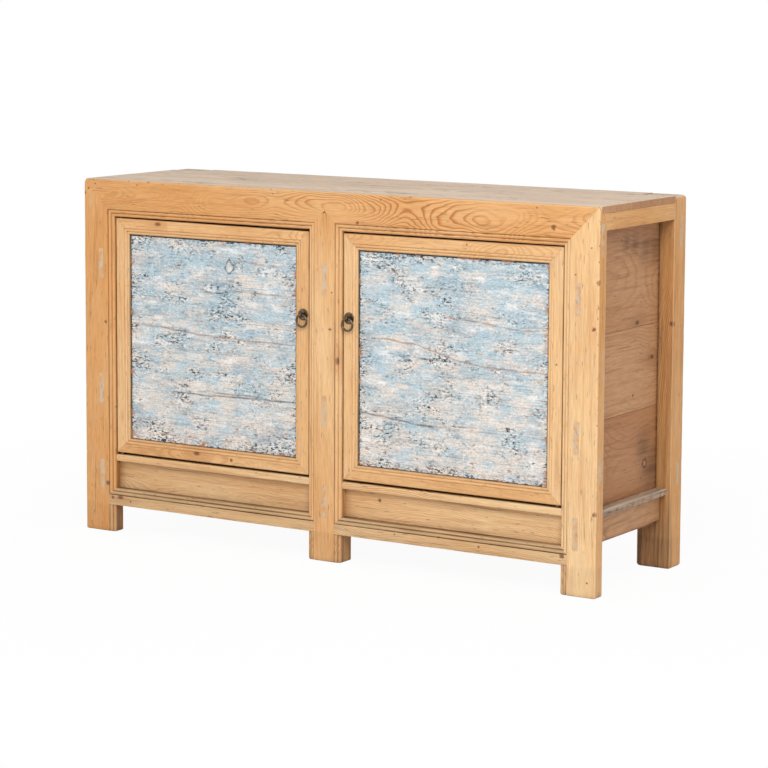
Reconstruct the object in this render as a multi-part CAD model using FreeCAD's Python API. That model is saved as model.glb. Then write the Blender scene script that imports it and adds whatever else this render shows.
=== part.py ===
import FreeCAD, Part
import os
from math import sqrt

# Overall size of the case, in millimetres, with the origin on the floor under the middle of the whole
WIDTH = 1450.0
DEPTH = 432.0
HEIGHT = 885.0

# Front posts: a plain face, then beads that fall towards the opening
POST_FACE = 73.0
CENTRE_POST_FACE = 57.0
CENTRE_POST_OFFSET = -6.0
FRONT_POST_DEPTH = 33.0
CENTRE_POST_EXTRA_DEPTH = 15.0
POST_ARRIS = 4.0

# Beads round the two openings
BEAD_WIDTH = 18.0
BEAD_DROP = 6.5
BEAD_GROOVE = 2.0
# Turning points of the bead outline, as shares of its whole drop: a bead's start, crown and end
FIRST_GROOVE = 0.4
FIRST_BEAD = (0.2, 0.08, 0.4)
SECOND_GROOVE = 0.8
SECOND_BEAD = (0.6, 0.55, 1.0)

# Front rails
TOP_RAIL_FACE = 73.0
FOOT_HEIGHT = 68.5
BOTTOM_RAIL_FACE = 25.0
BOTTOM_RAIL_ARRIS = 2.5
BOTTOM_RAIL_LAP = 14.0
MIDDLE_RAIL_TOP = 196.5
MIDDLE_RAIL_HEIGHT = 17.0
MIDDLE_RAIL_RECESS = 7.0
APRON_RECESS = 23.0
APRON_THICKNESS = 9.0

# Rear frame
REAR_POST_WIDTH = 87.0
REAR_POST_DEPTH = 58.0
CENTRE_REAR_POST_WIDTH = 60.0
CENTRE_REAR_POST_DEPTH = 45.0
REAR_RAIL_THICKNESS = 30.0
REAR_TOP_RAIL_HEIGHT = 72.0
REAR_BOTTOM_RAIL_HEIGHT = 60.0
BACK_BOARD_THICKNESS = 9.0
BACK_BOARD_RECESS = 11.0
BACK_BOARDS_PER_BAY = 3

# Top
TOP_BOARD_THICKNESS = 16.0
TOP_LIP = 9.0
TOP_BOARDS = ("front", "middle", "rear")

# Ends of the cabinet, measured inwards from the outer face of the posts
SIDE_RAIL_HEIGHT = 39.0
SIDE_PANEL_INSET = 36.0
SIDE_PANEL_THICKNESS = 9.0
SIDE_PANEL_JOINTS = (392.0, 588.0)
LEDGE_TOP = 194.0
LEDGE_THICKNESS = 16.0
LEDGE_INSET = 10.0
LOWER_SIDE_RAIL_INSET = 28.0
LOWER_SIDE_RAIL_HEIGHT = 61.0

# Rails that run from front to back, through both posts
BEARER_THICKNESS = 26.0
BEARER_HEIGHT = 75.0
BEARER_TENON = 14.0
FLOOR_BEARER_TOP = 181.0
SHELF_BEARER_TOP = 400.0
STRETCHER_BELOW_TOP = 171.0

# Inside
FLOOR_BOARD_THICKNESS = 12.0
SHELF_BOARD_THICKNESS = 12.0
SHELF_SETBACK = 2.0
INNER_BOARDS = 3
STOP_LENGTH = 140.0
STOP_THICKNESS = 12.0
STOP_OVERLAP = 20.0
STOP_FIXING = 30.0
STOP_FROM_POST = 24.0

# Doors
DOOR_RECESS = 7.5
DOOR_THICKNESS = 25.0
DOOR_SIDE_GAP = 2.5
DOOR_TOP_GAP = 3.0
DOOR_BOTTOM_GAP = 6.0
DOOR_ARRIS = 3.0
STILE_FLAT = 24.0
DOOR_TOP_FLAT = 24.5
DOOR_BOTTOM_FLAT = 22.0
DOOR_BEAD_WIDTH = 15.0
DOOR_BEAD_DROP = 4.5
DOOR_PANEL_RECESS = 8.0
DOOR_PANEL_THICKNESS = 9.0
DOOR_PANEL_PLANKS = 4

# Door pivots
PIVOT_RADIUS = 4.0
PIVOT_INSET = 12.0
PIVOT_SETBACK = 8.0
PIVOT_IN_DOOR = 30.0
PIVOT_IN_RAIL = 10.0
PIVOT_RUNNING_CLEARANCE = 0.08
PIVOT_SEAT_CLEARANCE = 0.03
PIVOT_END_CLEARANCE = 0.3

# Ring pulls
PULL_HEIGHT = 589.0
PULL_INSET = 16.0
PLATE_RADIUS = 14.4
PLATE_THICKNESS = 1.6
PLATE_RIM = 0.6
PLATE_FLAT_RADIUS = 8.0
EYE_RADIUS = 4.6
EYE_WIRE_RADIUS = 1.4
EYE_STANDOFF = 7.7
SHANK_RADIUS = 2.0
SHANK_CLEARANCE = 0.2
LEG_LENGTH = 14.0
LEG_WIDTH = 3.0
LEG_THICKNESS = 1.6
RING_RADIUS = 14.4
RING_WIRE_RADIUS = 2.8

# Nails of the top boards
NAIL_RADIUS = 1.5
NAIL_HEAD_RADIUS = 3.5
NAIL_HEAD_THICKNESS = 1.2
NAIL_LENGTH = 40.0
NAIL_INSET = 18.0
NAIL_FROM_BOARD_EDGE = 26.0
NAIL_CLEARANCE = 0.05

# Joinery
JOINT_CLEARANCE = 0.2
PANEL_GROOVE = 6.0
TENON_THICKNESS = 10.0
TENON_SHOULDER = 5.0
STUB_LENGTH = 14.0
TOP_RAIL_TENON_HEIGHT = 36.0
DOOR_TENON_HEIGHT = 14.0
DOOR_TENON_FROM_EDGE = 10.0
DOOR_TENON_THICKNESS = 8.0

# Places worked out from the sizes above
SIDES = {"left": -1, "right": 1}
DOOR_FRAME = ("hinge_stile", "lock_stile", "top_rail", "bottom_rail")
POSTS_OF_BAY = {"left": ("left", "centre"), "right": ("centre", "right")}
POST_WIDTH = POST_FACE + BEAD_WIDTH
HALF_CENTRE_FACE = CENTRE_POST_FACE / 2
HALF_CENTRE_POST = HALF_CENTRE_FACE + BEAD_WIDTH
CENTRE_POST_DEPTH = FRONT_POST_DEPTH + CENTRE_POST_EXTRA_DEPTH
OPENING_TOP = HEIGHT - TOP_RAIL_FACE - BEAD_WIDTH
OPENING_BOTTOM = FOOT_HEIGHT + BOTTOM_RAIL_FACE + BEAD_WIDTH
MIDDLE_RAIL_BOTTOM = MIDDLE_RAIL_TOP - MIDDLE_RAIL_HEIGHT
SHOULDER_TIP = OPENING_TOP + BEAD_WIDTH + HALF_CENTRE_FACE
TOP_SEAT = HEIGHT - TOP_BOARD_THICKNESS
SIDE_PANEL_INNER = SIDE_PANEL_INSET + SIDE_PANEL_THICKNESS
BACK_INNER = DEPTH - BACK_BOARD_RECESS - BACK_BOARD_THICKNESS
REAR_POST_FRONT = DEPTH - REAR_POST_DEPTH
CENTRE_REAR_POST_FRONT = DEPTH - CENTRE_REAR_POST_DEPTH
STRETCHER_TOP = HEIGHT - STRETCHER_BELOW_TOP
REAR_TOP_RAIL_BOTTOM = TOP_SEAT - REAR_TOP_RAIL_HEIGHT
REAR_BOTTOM_RAIL_BOTTOM = FLOOR_BEARER_TOP - REAR_BOTTOM_RAIL_HEIGHT
LEDGE_BOTTOM = LEDGE_TOP - LEDGE_THICKNESS
DOOR_BOTTOM = MIDDLE_RAIL_TOP + DOOR_BOTTOM_GAP
DOOR_TOP = OPENING_TOP - DOOR_TOP_GAP
DOOR_BACK = DOOR_RECESS + DOOR_THICKNESS
PULL_REACH = max(0.0, EYE_STANDOFF + EYE_RADIUS + EYE_WIRE_RADIUS - DOOR_RECESS)

pieces = {}
hollows = {}


def vector(x, y, z):
    return FreeCAD.Vector(x, y, z)


def back(depth):
    """Y of a point that lies so far behind the front of the posts."""
    return depth - (DEPTH - PULL_REACH) / 2


def inset(side, distance):
    """X of a point so far in from the outer face of a side."""
    return SIDES[side] * (WIDTH / 2 - distance)


def free_edge(side):
    """X of the side of an opening next to the centre post."""
    return CENTRE_POST_OFFSET + SIDES[side] * HALF_CENTRE_POST


def block(x0, x1, depth0, depth1, z0, z1, grow=0.0):
    """Block between two X, two depths and two heights, grown all round by grow."""
    low_x = min(x0, x1) - grow
    high_x = max(x0, x1) + grow
    corner = vector(low_x, back(depth0) - grow, z0 - grow)
    length = high_x - low_x
    return Part.makeBox(length, depth1 - depth0 + 2 * grow, z1 - z0 + 2 * grow, corner)


def prism(corners, depth0, depth1):
    """Block with an outline of (x, z) corners, from one depth to another."""
    points = [vector(x, back(depth0), z) for x, z in corners]
    face = Part.Face(Part.makePolygon(points + points[:1]))
    return face.extrude(vector(0, depth1 - depth0, 0))


def add(name, *solids):
    """Keeps the solids of one piece, or of one group of like pieces."""
    pieces[name] = solids[0] if len(solids) == 1 else Part.makeCompound(list(solids))


def hollow(name, *shapes):
    """Shapes to take out of a piece once all pieces are laid out."""
    hollows.setdefault(name, []).extend(shapes)


def tenon(rail, post, *limits):
    """A block that belongs to the rail and has its mortise, with its clearance, in the post."""
    pieces[rail] = pieces[rail].fuse(block(*limits))
    hollow(post, block(*limits, grow=JOINT_CLEARANCE))


def lines(*points):
    """Run of straight lines through points of an outline."""
    return list(zip(points[:-1], points[1:]))


def rounded_corner(radius):
    """Quarter round from the side of a piece to its face, at the outline's own corner."""
    middle = radius - radius / sqrt(2)
    return [((0, radius), (middle, middle), (radius, 0))]


def double_bead(start, width, drop):
    """Groove, bead, groove, bead: from the face at start, falling by drop over width."""
    bead = width / 2 - BEAD_GROOVE
    run = []
    last = (start, 0)
    for groove, shares in ((FIRST_GROOVE, FIRST_BEAD), (SECOND_GROOVE, SECOND_BEAD)):
        bead_start = last[0] + BEAD_GROOVE
        places = (bead_start, bead_start + bead / 2, bead_start + bead)
        points = [(across, share * drop) for across, share in zip(places, shares)]
        run += lines(last, (last[0] + BEAD_GROOVE / 2, groove * drop), points[0]) + [tuple(points)]
        last = points[-1]
    return run


def moulded(face, depth, arris, bead_width, bead_drop):
    """Outline of a post, rail or stile: side, rounded arris, plain face, beads and inner side."""
    inner = face + bead_width
    return (
        lines((0, depth), (0, arris))
        + rounded_corner(arris)
        + lines((arris, 0), (face, 0))
        + double_bead(face, bead_width, bead_drop)
        + lines((inner, bead_drop), (inner, depth))
    )


def mirrored(run):
    """The same run on the other side of its own zero line, walked backwards."""
    return [tuple((-across, depth) for across, depth in reversed(part)) for part in reversed(run)]


def closed_face(run, place):
    """Face inside a run of lines and arcs, laid out by place and closed by a straight line."""
    edges = []
    for part in run + [(run[-1][-1], run[0][0])]:
        points = [place(*point) for point in part]
        curve = Part.Arc(*points) if len(points) == 3 else Part.LineSegment(*points)
        edges.append(curve.toShape())
    return Part.Face(Part.Wire(edges))


def upright(run, x, direction, bottom, top, recess=0.0):
    """An outline across X, carried upwards."""

    def place(across, depth):
        return vector(x + direction * across, back(recess + depth), bottom)

    return closed_face(run, place).extrude(vector(0, 0, top - bottom))


def level(run, z, direction, x0, x1, recess=0.0):
    """An outline across Z, carried along X."""

    def place(across, depth):
        return vector(x0, back(recess + depth), z + direction * across)

    return closed_face(run, place).extrude(vector(x1 - x0, 0, 0))


def front_frame():
    """Three moulded posts and the top rail that is mitred to them."""
    run = moulded(POST_FACE, FRONT_POST_DEPTH, POST_ARRIS, BEAD_WIDTH, BEAD_DROP)
    rail_run = moulded(TOP_RAIL_FACE, FRONT_POST_DEPTH, POST_ARRIS, BEAD_WIDTH, BEAD_DROP)
    add("front_top_rail", level(rail_run, HEIGHT, -1, -WIDTH / 2, WIDTH / 2))
    for side, sign in SIDES.items():
        post = f"front_post_{side}"
        add(post, upright(run, inset(side, 0), -sign, 0, HEIGHT))
        mitre = [
            (inset(side, 0), HEIGHT),
            (inset(side, POST_FACE), HEIGHT - TOP_RAIL_FACE),
            (inset(side, POST_WIDTH), OPENING_TOP),
        ]
        hollow(post, prism(mitre + [(inset(side, POST_WIDTH), HEIGHT)], 0, FRONT_POST_DEPTH))
        hollow("front_top_rail", prism(mitre + [(inset(side, 0), OPENING_TOP)], 0, FRONT_POST_DEPTH))
    half = lines((0, 0), (HALF_CENTRE_FACE, 0)) + double_bead(HALF_CENTRE_FACE, BEAD_WIDTH, BEAD_DROP)
    half += lines((HALF_CENTRE_POST, BEAD_DROP), (HALF_CENTRE_POST, CENTRE_POST_DEPTH))
    add("front_post_centre", upright(mirrored(half) + half, CENTRE_POST_OFFSET, 1, 0, SHOULDER_TIP))
    foot, turn = ([], [])
    for sign in SIDES.values():
        foot.append((CENTRE_POST_OFFSET + sign * HALF_CENTRE_POST, OPENING_TOP))
        turn.append((CENTRE_POST_OFFSET + sign * HALF_CENTRE_FACE, OPENING_TOP + BEAD_WIDTH))
        outside = [foot[-1], turn[-1], (CENTRE_POST_OFFSET, SHOULDER_TIP), (foot[-1][0], SHOULDER_TIP)]
        hollow("front_post_centre", prism(outside, 0, CENTRE_POST_DEPTH))
    shoulder = [foot[0], turn[0], (CENTRE_POST_OFFSET, SHOULDER_TIP), turn[1], foot[1]]
    hollow("front_top_rail", prism(shoulder, 0, FRONT_POST_DEPTH))


def front_joinery():
    """Tenons of the top rail through the outer posts, and of the centre post into the top rail."""
    depth0 = (FRONT_POST_DEPTH - TENON_THICKNESS) / 2 + BEAD_DROP / 2
    depth1 = depth0 + TENON_THICKNESS
    low = OPENING_TOP + TENON_SHOULDER
    high = low + TOP_RAIL_TENON_HEIGHT
    for side in SIDES:
        reach = (inset(side, 0), inset(side, POST_WIDTH + TENON_SHOULDER))
        tenon("front_top_rail", f"front_post_{side}", *reach, depth0, depth1, low, high)
    half = HALF_CENTRE_FACE / 2
    reach = (CENTRE_POST_OFFSET - half, CENTRE_POST_OFFSET + half)
    tenon("front_post_centre", "front_top_rail", *reach, depth0, depth1, OPENING_TOP, SHOULDER_TIP)


def front_rails(bay):
    """Bottom rail, lapped over the beads of its posts, and the middle rail and apron above it."""
    x0, x1 = sorted((inset(bay, POST_WIDTH), free_edge(bay)))
    posts = [f"front_post_{where}" for where in POSTS_OF_BAY[bay]]
    bottom = f"bottom_rail_{bay}"
    middle = f"middle_rail_{bay}"
    run = moulded(BOTTOM_RAIL_FACE, FRONT_POST_DEPTH, BOTTOM_RAIL_ARRIS, BEAD_WIDTH, BEAD_DROP)
    add(bottom, level(run, FOOT_HEIGHT, 1, x0 - BEAD_WIDTH, x1 + BEAD_WIDTH))
    add(middle, block(x0, x1, MIDDLE_RAIL_RECESS, FRONT_POST_DEPTH, MIDDLE_RAIL_BOTTOM, MIDDLE_RAIL_TOP))
    tenon_depth = APRON_RECESS - JOINT_CLEARANCE - TENON_THICKNESS
    bead_foot = OPENING_BOTTOM - BEAD_WIDTH
    for post, edge, outward in zip(posts, (x0, x1), (-1, 1)):
        field = edge + outward * BEAD_WIDTH
        lap = [(edge, OPENING_BOTTOM), (field, bead_foot), (field, FOOT_HEIGHT), (edge, FOOT_HEIGHT)]
        hollow(post, prism(lap, 0, BOTTOM_RAIL_LAP))
        hollow(bottom, prism([lap[0], lap[1], (field, OPENING_BOTTOM)], 0, FRONT_POST_DEPTH))
        hollow(bottom, block(edge, field, BOTTOM_RAIL_LAP, FRONT_POST_DEPTH, FOOT_HEIGHT, OPENING_BOTTOM))
        reach = (edge, edge + outward * STUB_LENGTH)
        low = MIDDLE_RAIL_BOTTOM + TENON_SHOULDER
        tenon(middle, post, *reach, tenon_depth, tenon_depth + TENON_THICKNESS, low, MIDDLE_RAIL_TOP)
    apron = (x0 - PANEL_GROOVE, x1 + PANEL_GROOVE, APRON_RECESS, APRON_RECESS + APRON_THICKNESS)
    apron += (OPENING_BOTTOM - PANEL_GROOVE, MIDDLE_RAIL_BOTTOM + PANEL_GROOVE)
    add(f"apron_panel_{bay}", block(*apron))
    for neighbour in posts + [bottom, middle]:
        hollow(neighbour, block(*apron, grow=JOINT_CLEARANCE))


def rear_frame():
    """Rear posts with the top rail between them, bottom rails and the boards of each bay."""
    for side in SIDES:
        across = (inset(side, 0), inset(side, REAR_POST_WIDTH))
        add(f"rear_post_{side}", block(*across, REAR_POST_FRONT, DEPTH, 0, HEIGHT))
    half = CENTRE_REAR_POST_WIDTH / 2
    centre = (CENTRE_POST_OFFSET - half, CENTRE_POST_OFFSET + half)
    add("rear_post_centre", block(*centre, CENTRE_REAR_POST_FRONT, DEPTH, 0, REAR_TOP_RAIL_BOTTOM))
    rail_front = DEPTH - REAR_RAIL_THICKNESS
    ends = (inset("left", REAR_POST_WIDTH), inset("right", REAR_POST_WIDTH))
    add("rear_top_rail", block(*ends, rail_front, DEPTH, REAR_TOP_RAIL_BOTTOM, TOP_SEAT))
    depth0 = rail_front + (REAR_RAIL_THICKNESS - TENON_THICKNESS) / 2
    depths = (depth0, depth0 + TENON_THICKNESS)
    low = REAR_TOP_RAIL_BOTTOM + TENON_SHOULDER
    for side, end in zip(SIDES, ends):
        through = (inset(side, 0), end)
        tenon("rear_top_rail", f"rear_post_{side}", *through, *depths, low, low + TOP_RAIL_TENON_HEIGHT)
    stub = (CENTRE_POST_OFFSET - half / 2, CENTRE_POST_OFFSET + half / 2)
    stub_top = REAR_TOP_RAIL_BOTTOM + STUB_LENGTH
    tenon("rear_post_centre", "rear_top_rail", *stub, *depths, REAR_TOP_RAIL_BOTTOM, stub_top)
    bays = {"left": (ends[0], centre[0]), "right": (centre[1], ends[1])}
    for bay, (x0, x1) in bays.items():
        rail = f"rear_bottom_rail_{bay}"
        posts = [f"rear_post_{where}" for where in POSTS_OF_BAY[bay]]
        add(rail, block(x0, x1, rail_front, DEPTH, REAR_BOTTOM_RAIL_BOTTOM, FLOOR_BEARER_TOP))
        stub_low = REAR_BOTTOM_RAIL_BOTTOM + TENON_SHOULDER
        stub_high = FLOOR_BEARER_TOP - PANEL_GROOVE - TENON_SHOULDER
        for post, end, outward in zip(posts, (x0, x1), (-1, 1)):
            tenon(rail, post, end, end + outward * STUB_LENGTH, *depths, stub_low, stub_high)
        low = FLOOR_BEARER_TOP - PANEL_GROOVE
        high = REAR_TOP_RAIL_BOTTOM + PANEL_GROOVE
        panel = (x0 - PANEL_GROOVE, x1 + PANEL_GROOVE, BACK_INNER, DEPTH - BACK_BOARD_RECESS)
        rise = (high - low) / BACK_BOARDS_PER_BAY
        heights = [low + number * rise for number in range(BACK_BOARDS_PER_BAY + 1)]
        add(f"back_boards_{bay}", *(block(*panel, z0, z1) for z0, z1 in lines(*heights)))
        for neighbour in posts + [rail, "rear_top_rail"]:
            hollow(neighbour, block(*panel, low, high, grow=JOINT_CLEARANCE))


def bearers():
    """Rails from front to back at three heights; their through tenons show on the front posts."""
    tops = {
        "floor_bearer": FLOOR_BEARER_TOP,
        "shelf_bearer": SHELF_BEARER_TOP,
        "upper_stretcher": STRETCHER_TOP,
    }
    starts = {side: inset(side, SIDE_PANEL_INNER) for side in SIDES}
    outer = (FRONT_POST_DEPTH, REAR_POST_FRONT)
    places = {side: (starts[side], -sign, *outer) for side, sign in SIDES.items()}
    middle = CENTRE_POST_OFFSET - BEARER_THICKNESS / 2
    places["centre"] = (middle, 1, CENTRE_POST_DEPTH, CENTRE_REAR_POST_FRONT)
    for name, top in tops.items():
        for where, (x, inward, front, rear) in places.items():
            rail = f"{name}_{where}"
            low = top - BEARER_HEIGHT
            add(rail, block(x, x + inward * BEARER_THICKNESS, front, rear, low, top))
            cheek = (BEARER_THICKNESS - BEARER_TENON) / 2 if where == "centre" else 0.0
            reach = (x + inward * cheek, x + inward * (cheek + BEARER_TENON))
            tenon(rail, f"front_post_{where}", *reach, 0, front, low, top)
            tenon(rail, f"rear_post_{where}", *reach, rear, DEPTH, low, top)


def end_frame(side):
    """Upper rail, boarded panel, ledge and lower rail at one end of the cabinet."""
    span = (FRONT_POST_DEPTH, REAR_POST_FRONT)
    front_post = f"front_post_{side}"
    rear_post = f"rear_post_{side}"
    upper = f"upper_side_rail_{side}"
    low = TOP_SEAT - SIDE_RAIL_HEIGHT
    add(upper, block(inset(side, 0), inset(side, SIDE_PANEL_INSET), *span, low, TOP_SEAT))
    lower = f"lower_side_rail_{side}"
    lower_low = LEDGE_BOTTOM - LOWER_SIDE_RAIL_HEIGHT
    lower_across = (inset(side, LOWER_SIDE_RAIL_INSET), inset(side, SIDE_PANEL_INNER))
    add(lower, block(*lower_across, *span, lower_low, LEDGE_BOTTOM))
    middle = SIDE_PANEL_INSET / 2
    upper_tenon = (inset(side, middle - TENON_THICKNESS / 2), inset(side, middle + TENON_THICKNESS / 2))
    lower_tenon = (inset(side, SIDE_PANEL_INNER - TENON_THICKNESS), inset(side, SIDE_PANEL_INNER))
    upper_low = low + TENON_SHOULDER + JOINT_CLEARANCE
    for rail, across, z0, z1 in (
        (upper, upper_tenon, upper_low, TOP_SEAT - TENON_SHOULDER),
        (lower, lower_tenon, lower_low + TENON_SHOULDER, LEDGE_BOTTOM - TENON_SHOULDER),
    ):
        front_stub = (*across, span[0] - PANEL_GROOVE, span[0], z0, z1)
        tenon(rail, front_post, *front_stub)
        hollow("front_top_rail", block(*front_stub, grow=JOINT_CLEARANCE))
        tenon(rail, rear_post, *across, span[1], span[1] + STUB_LENGTH, z0, z1)
    across = (inset(side, LEDGE_INSET), inset(side, SIDE_PANEL_INNER))
    add(f"side_ledge_{side}", block(*across, *span, LEDGE_BOTTOM, LEDGE_TOP))
    panel = (inset(side, SIDE_PANEL_INSET), inset(side, SIDE_PANEL_INNER))
    panel += (span[0] - PANEL_GROOVE, span[1] + PANEL_GROOVE)
    heights = (LEDGE_TOP,) + SIDE_PANEL_JOINTS + (TOP_SEAT,)
    add(f"side_panel_{side}", *(block(*panel, z0, z1) for z0, z1 in lines(*heights)))
    for neighbour in (front_post, rear_post, "front_top_rail"):
        hollow(neighbour, block(*panel, LEDGE_TOP, TOP_SEAT, grow=JOINT_CLEARANCE))


def top():
    """Top boards laid behind the lip of the front rail, notched round the rear posts, with nails."""
    width = (DEPTH - TOP_LIP) / len(TOP_BOARDS)
    nails = []
    for number, name in enumerate(TOP_BOARDS):
        board = f"top_board_{name}"
        depth0 = TOP_LIP + number * width
        depth1 = depth0 + width
        add(board, block(-WIDTH / 2, WIDTH / 2, depth0, depth1, TOP_SEAT, HEIGHT))
        nail_limit = min(depth1, REAR_POST_FRONT)
        first = max(depth0, FRONT_POST_DEPTH) + NAIL_FROM_BOARD_EDGE
        for side in SIDES:
            for depth in (first, nail_limit - NAIL_FROM_BOARD_EDGE):
                foot = vector(inset(side, NAIL_INSET), back(depth), HEIGHT - NAIL_LENGTH)
                nails.append(nail(foot, 0.0))
                hollow(board, nail(foot, NAIL_CLEARANCE))
                hollow(f"upper_side_rail_{side}", nail(foot, NAIL_CLEARANCE))
    for side in SIDES:
        across = (inset(side, 0), inset(side, REAR_POST_WIDTH))
        notch = block(*across, REAR_POST_FRONT, DEPTH, TOP_SEAT, HEIGHT)
        hollow("top_board_rear", notch)
        hollow("top_board_middle", notch)
    for neighbour in ("front_top_rail", "front_post_left", "front_post_right"):
        hollow(neighbour, block(-WIDTH / 2, WIDTH / 2, TOP_LIP, FRONT_POST_DEPTH, TOP_SEAT, HEIGHT))
    add("top_nails", *nails)


def nail(foot, grow):
    """Cut nail with its head level with the top, or the hole that takes it."""
    up = vector(0, 0, 1)
    shank = Part.makeCylinder(NAIL_RADIUS + grow, NAIL_LENGTH, foot, up)
    seat = foot + vector(0, 0, NAIL_LENGTH - NAIL_HEAD_THICKNESS - grow)
    head = Part.makeCylinder(NAIL_HEAD_RADIUS + grow, NAIL_HEAD_THICKNESS + grow, seat, up)
    return shank.fuse(head)


def inner_boards():
    """Floor boards on the floor bearers, let in round the centre and rear posts, and the shelf."""
    ends = [inset(side, SIDE_PANEL_INNER + JOINT_CLEARANCE) for side in SIDES]
    floor_top = FLOOR_BEARER_TOP + FLOOR_BOARD_THICKNESS
    width = (BACK_INNER - FRONT_POST_DEPTH) / INNER_BOARDS
    depths = [FRONT_POST_DEPTH + number * width for number in range(INNER_BOARDS + 1)]
    add("floor_boards", *(block(*ends, d0, d1, FLOOR_BEARER_TOP, floor_top) for d0, d1 in lines(*depths)))
    half = CENTRE_REAR_POST_WIDTH / 2
    posts = [(CENTRE_POST_OFFSET - half, CENTRE_POST_OFFSET + half, CENTRE_REAR_POST_FRONT, DEPTH)]
    posts += [(inset(side, 0), inset(side, REAR_POST_WIDTH), REAR_POST_FRONT, DEPTH) for side in SIDES]
    posts.append((free_edge("left"), free_edge("right"), 0, CENTRE_POST_DEPTH))
    for post in posts:
        notch = block(*post, FLOOR_BEARER_TOP, floor_top, grow=JOINT_CLEARANCE)
        hollow("floor_boards", notch)
    first = CENTRE_POST_DEPTH + SHELF_SETBACK
    shelf_top = SHELF_BEARER_TOP + SHELF_BOARD_THICKNESS
    width = (REAR_POST_FRONT - first) / INNER_BOARDS
    depths = [first + number * width for number in range(INNER_BOARDS + 1)]
    add("shelf_boards", *(block(*ends, d0, d1, SHELF_BEARER_TOP, shelf_top) for d0, d1 in lines(*depths)))


def door_stops():
    """Strips behind the top rail that the free corners of the doors close against."""
    stops = []
    for side, sign in SIDES.items():
        near = free_edge(side) + sign * STOP_FROM_POST
        far = near + sign * STOP_LENGTH
        depths = (FRONT_POST_DEPTH, FRONT_POST_DEPTH + STOP_THICKNESS)
        stops.append(block(near, far, *depths, DOOR_TOP - STOP_OVERLAP, OPENING_TOP + STOP_FIXING))
    add("door_stops", *stops)


def door(side):
    """Mitred frame round a panel of planks, on two iron pivots, with a ring pull."""
    sign = SIDES[side]
    hinge = inset(side, POST_WIDTH + DOOR_SIDE_GAP)
    free = free_edge(side) + sign * DOOR_SIDE_GAP
    names = {part: f"{side}_door_{part}" for part in DOOR_FRAME}
    beads = (DOOR_BEAD_WIDTH, DOOR_BEAD_DROP)
    stile_run = moulded(STILE_FLAT, DOOR_THICKNESS, DOOR_ARRIS, *beads)
    edges = {"hinge_stile": (hinge, -sign), "lock_stile": (free, sign)}
    for part, (edge, inward) in edges.items():
        add(names[part], upright(stile_run, edge, inward, DOOR_BOTTOM, DOOR_TOP, DOOR_RECESS))
    rails = {"top_rail": (DOOR_TOP, -1, DOOR_TOP_FLAT), "bottom_rail": (DOOR_BOTTOM, 1, DOOR_BOTTOM_FLAT)}
    depth0 = DOOR_RECESS + DOOR_PANEL_RECESS
    for rail, (end, rise, flat) in rails.items():
        run = moulded(flat, DOOR_THICKNESS, DOOR_ARRIS, *beads)
        add(names[rail], level(run, end, rise, min(hinge, free), max(hinge, free), DOOR_RECESS))
        for stile, (edge, inward) in edges.items():
            corner_joint(names[stile], names[rail], edge, inward, end, rise, flat)
            reach = (edge + inward * DOOR_TENON_FROM_EDGE, edge + inward * (STILE_FLAT + DOOR_BEAD_WIDTH))
            near = end + rise * DOOR_TENON_FROM_EDGE
            far = near + rise * DOOR_TENON_HEIGHT
            limits = (*reach, depth0, depth0 + DOOR_TENON_THICKNESS, min(near, far), max(near, far))
            tenon(names[rail], names[stile], *limits)
    stile_width = STILE_FLAT + DOOR_BEAD_WIDTH - PANEL_GROOVE
    low = DOOR_BOTTOM + DOOR_BOTTOM_FLAT + DOOR_BEAD_WIDTH - PANEL_GROOVE
    high = DOOR_TOP - DOOR_TOP_FLAT - DOOR_BEAD_WIDTH + PANEL_GROOVE
    panel = (hinge - sign * stile_width, free + sign * stile_width, depth0, depth0 + DOOR_PANEL_THICKNESS)
    rise = (high - low) / DOOR_PANEL_PLANKS
    heights = [low + number * rise for number in range(DOOR_PANEL_PLANKS + 1)]
    add(f"{side}_door_panel", *(block(*panel, z0, z1) for z0, z1 in lines(*heights)))
    for name in names.values():
        hollow(name, block(*panel, low, high, grow=JOINT_CLEARANCE))
    pivots(side, hinge - sign * PIVOT_INSET, names)
    ring_pull(side, free + sign * PULL_INSET, names["lock_stile"])


def corner_joint(stile, rail, edge, inward, end, rise, flat):
    """Mitre of a stile and a rail, from the outer corner of the door through the corner of its beads."""
    width = STILE_FLAT + DOOR_BEAD_WIDTH
    height = flat + DOOR_BEAD_WIDTH
    bead_corner = (edge + inward * STILE_FLAT, end + rise * flat)
    inner_corner = (edge + inward * width, end + rise * height)
    mitre = [(edge, end), bead_corner, inner_corner]
    hollow(stile, prism(mitre + [(edge + inward * width, end)], DOOR_RECESS, DOOR_BACK))
    hollow(rail, prism(mitre + [(edge, end + rise * height)], DOOR_RECESS, DOOR_BACK))


def pivots(side, x, names):
    """Iron pins seated in the hinge stile's ends, turning in the top rail and the middle rail."""
    y = back(DOOR_RECESS + PIVOT_SETBACK)
    foot = MIDDLE_RAIL_TOP - PIVOT_IN_RAIL
    pins = (
        (foot, DOOR_BOTTOM + PIVOT_IN_DOOR, f"middle_rail_{side}", "bottom_rail"),
        (DOOR_TOP - PIVOT_IN_DOOR, OPENING_TOP + PIVOT_IN_RAIL, "front_top_rail", "top_rail"),
    )
    solids = []
    for low, high, carrier, rail in pins:
        solids.append(pin(x, y, low, high, PIVOT_RADIUS))
        ends = (low - PIVOT_END_CLEARANCE, high + PIVOT_END_CLEARANCE)
        hollow(carrier, pin(x, y, *ends, PIVOT_RADIUS + PIVOT_RUNNING_CLEARANCE))
        seat = pin(x, y, *ends, PIVOT_RADIUS + PIVOT_SEAT_CLEARANCE)
        hollow(names["hinge_stile"], seat)
        hollow(names[rail], seat)
    add(f"{side}_door_pivots", *solids)


def pin(x, y, low, high, radius):
    return Part.makeCylinder(radius, high - low, vector(x, y, low), vector(0, 0, 1))


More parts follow.
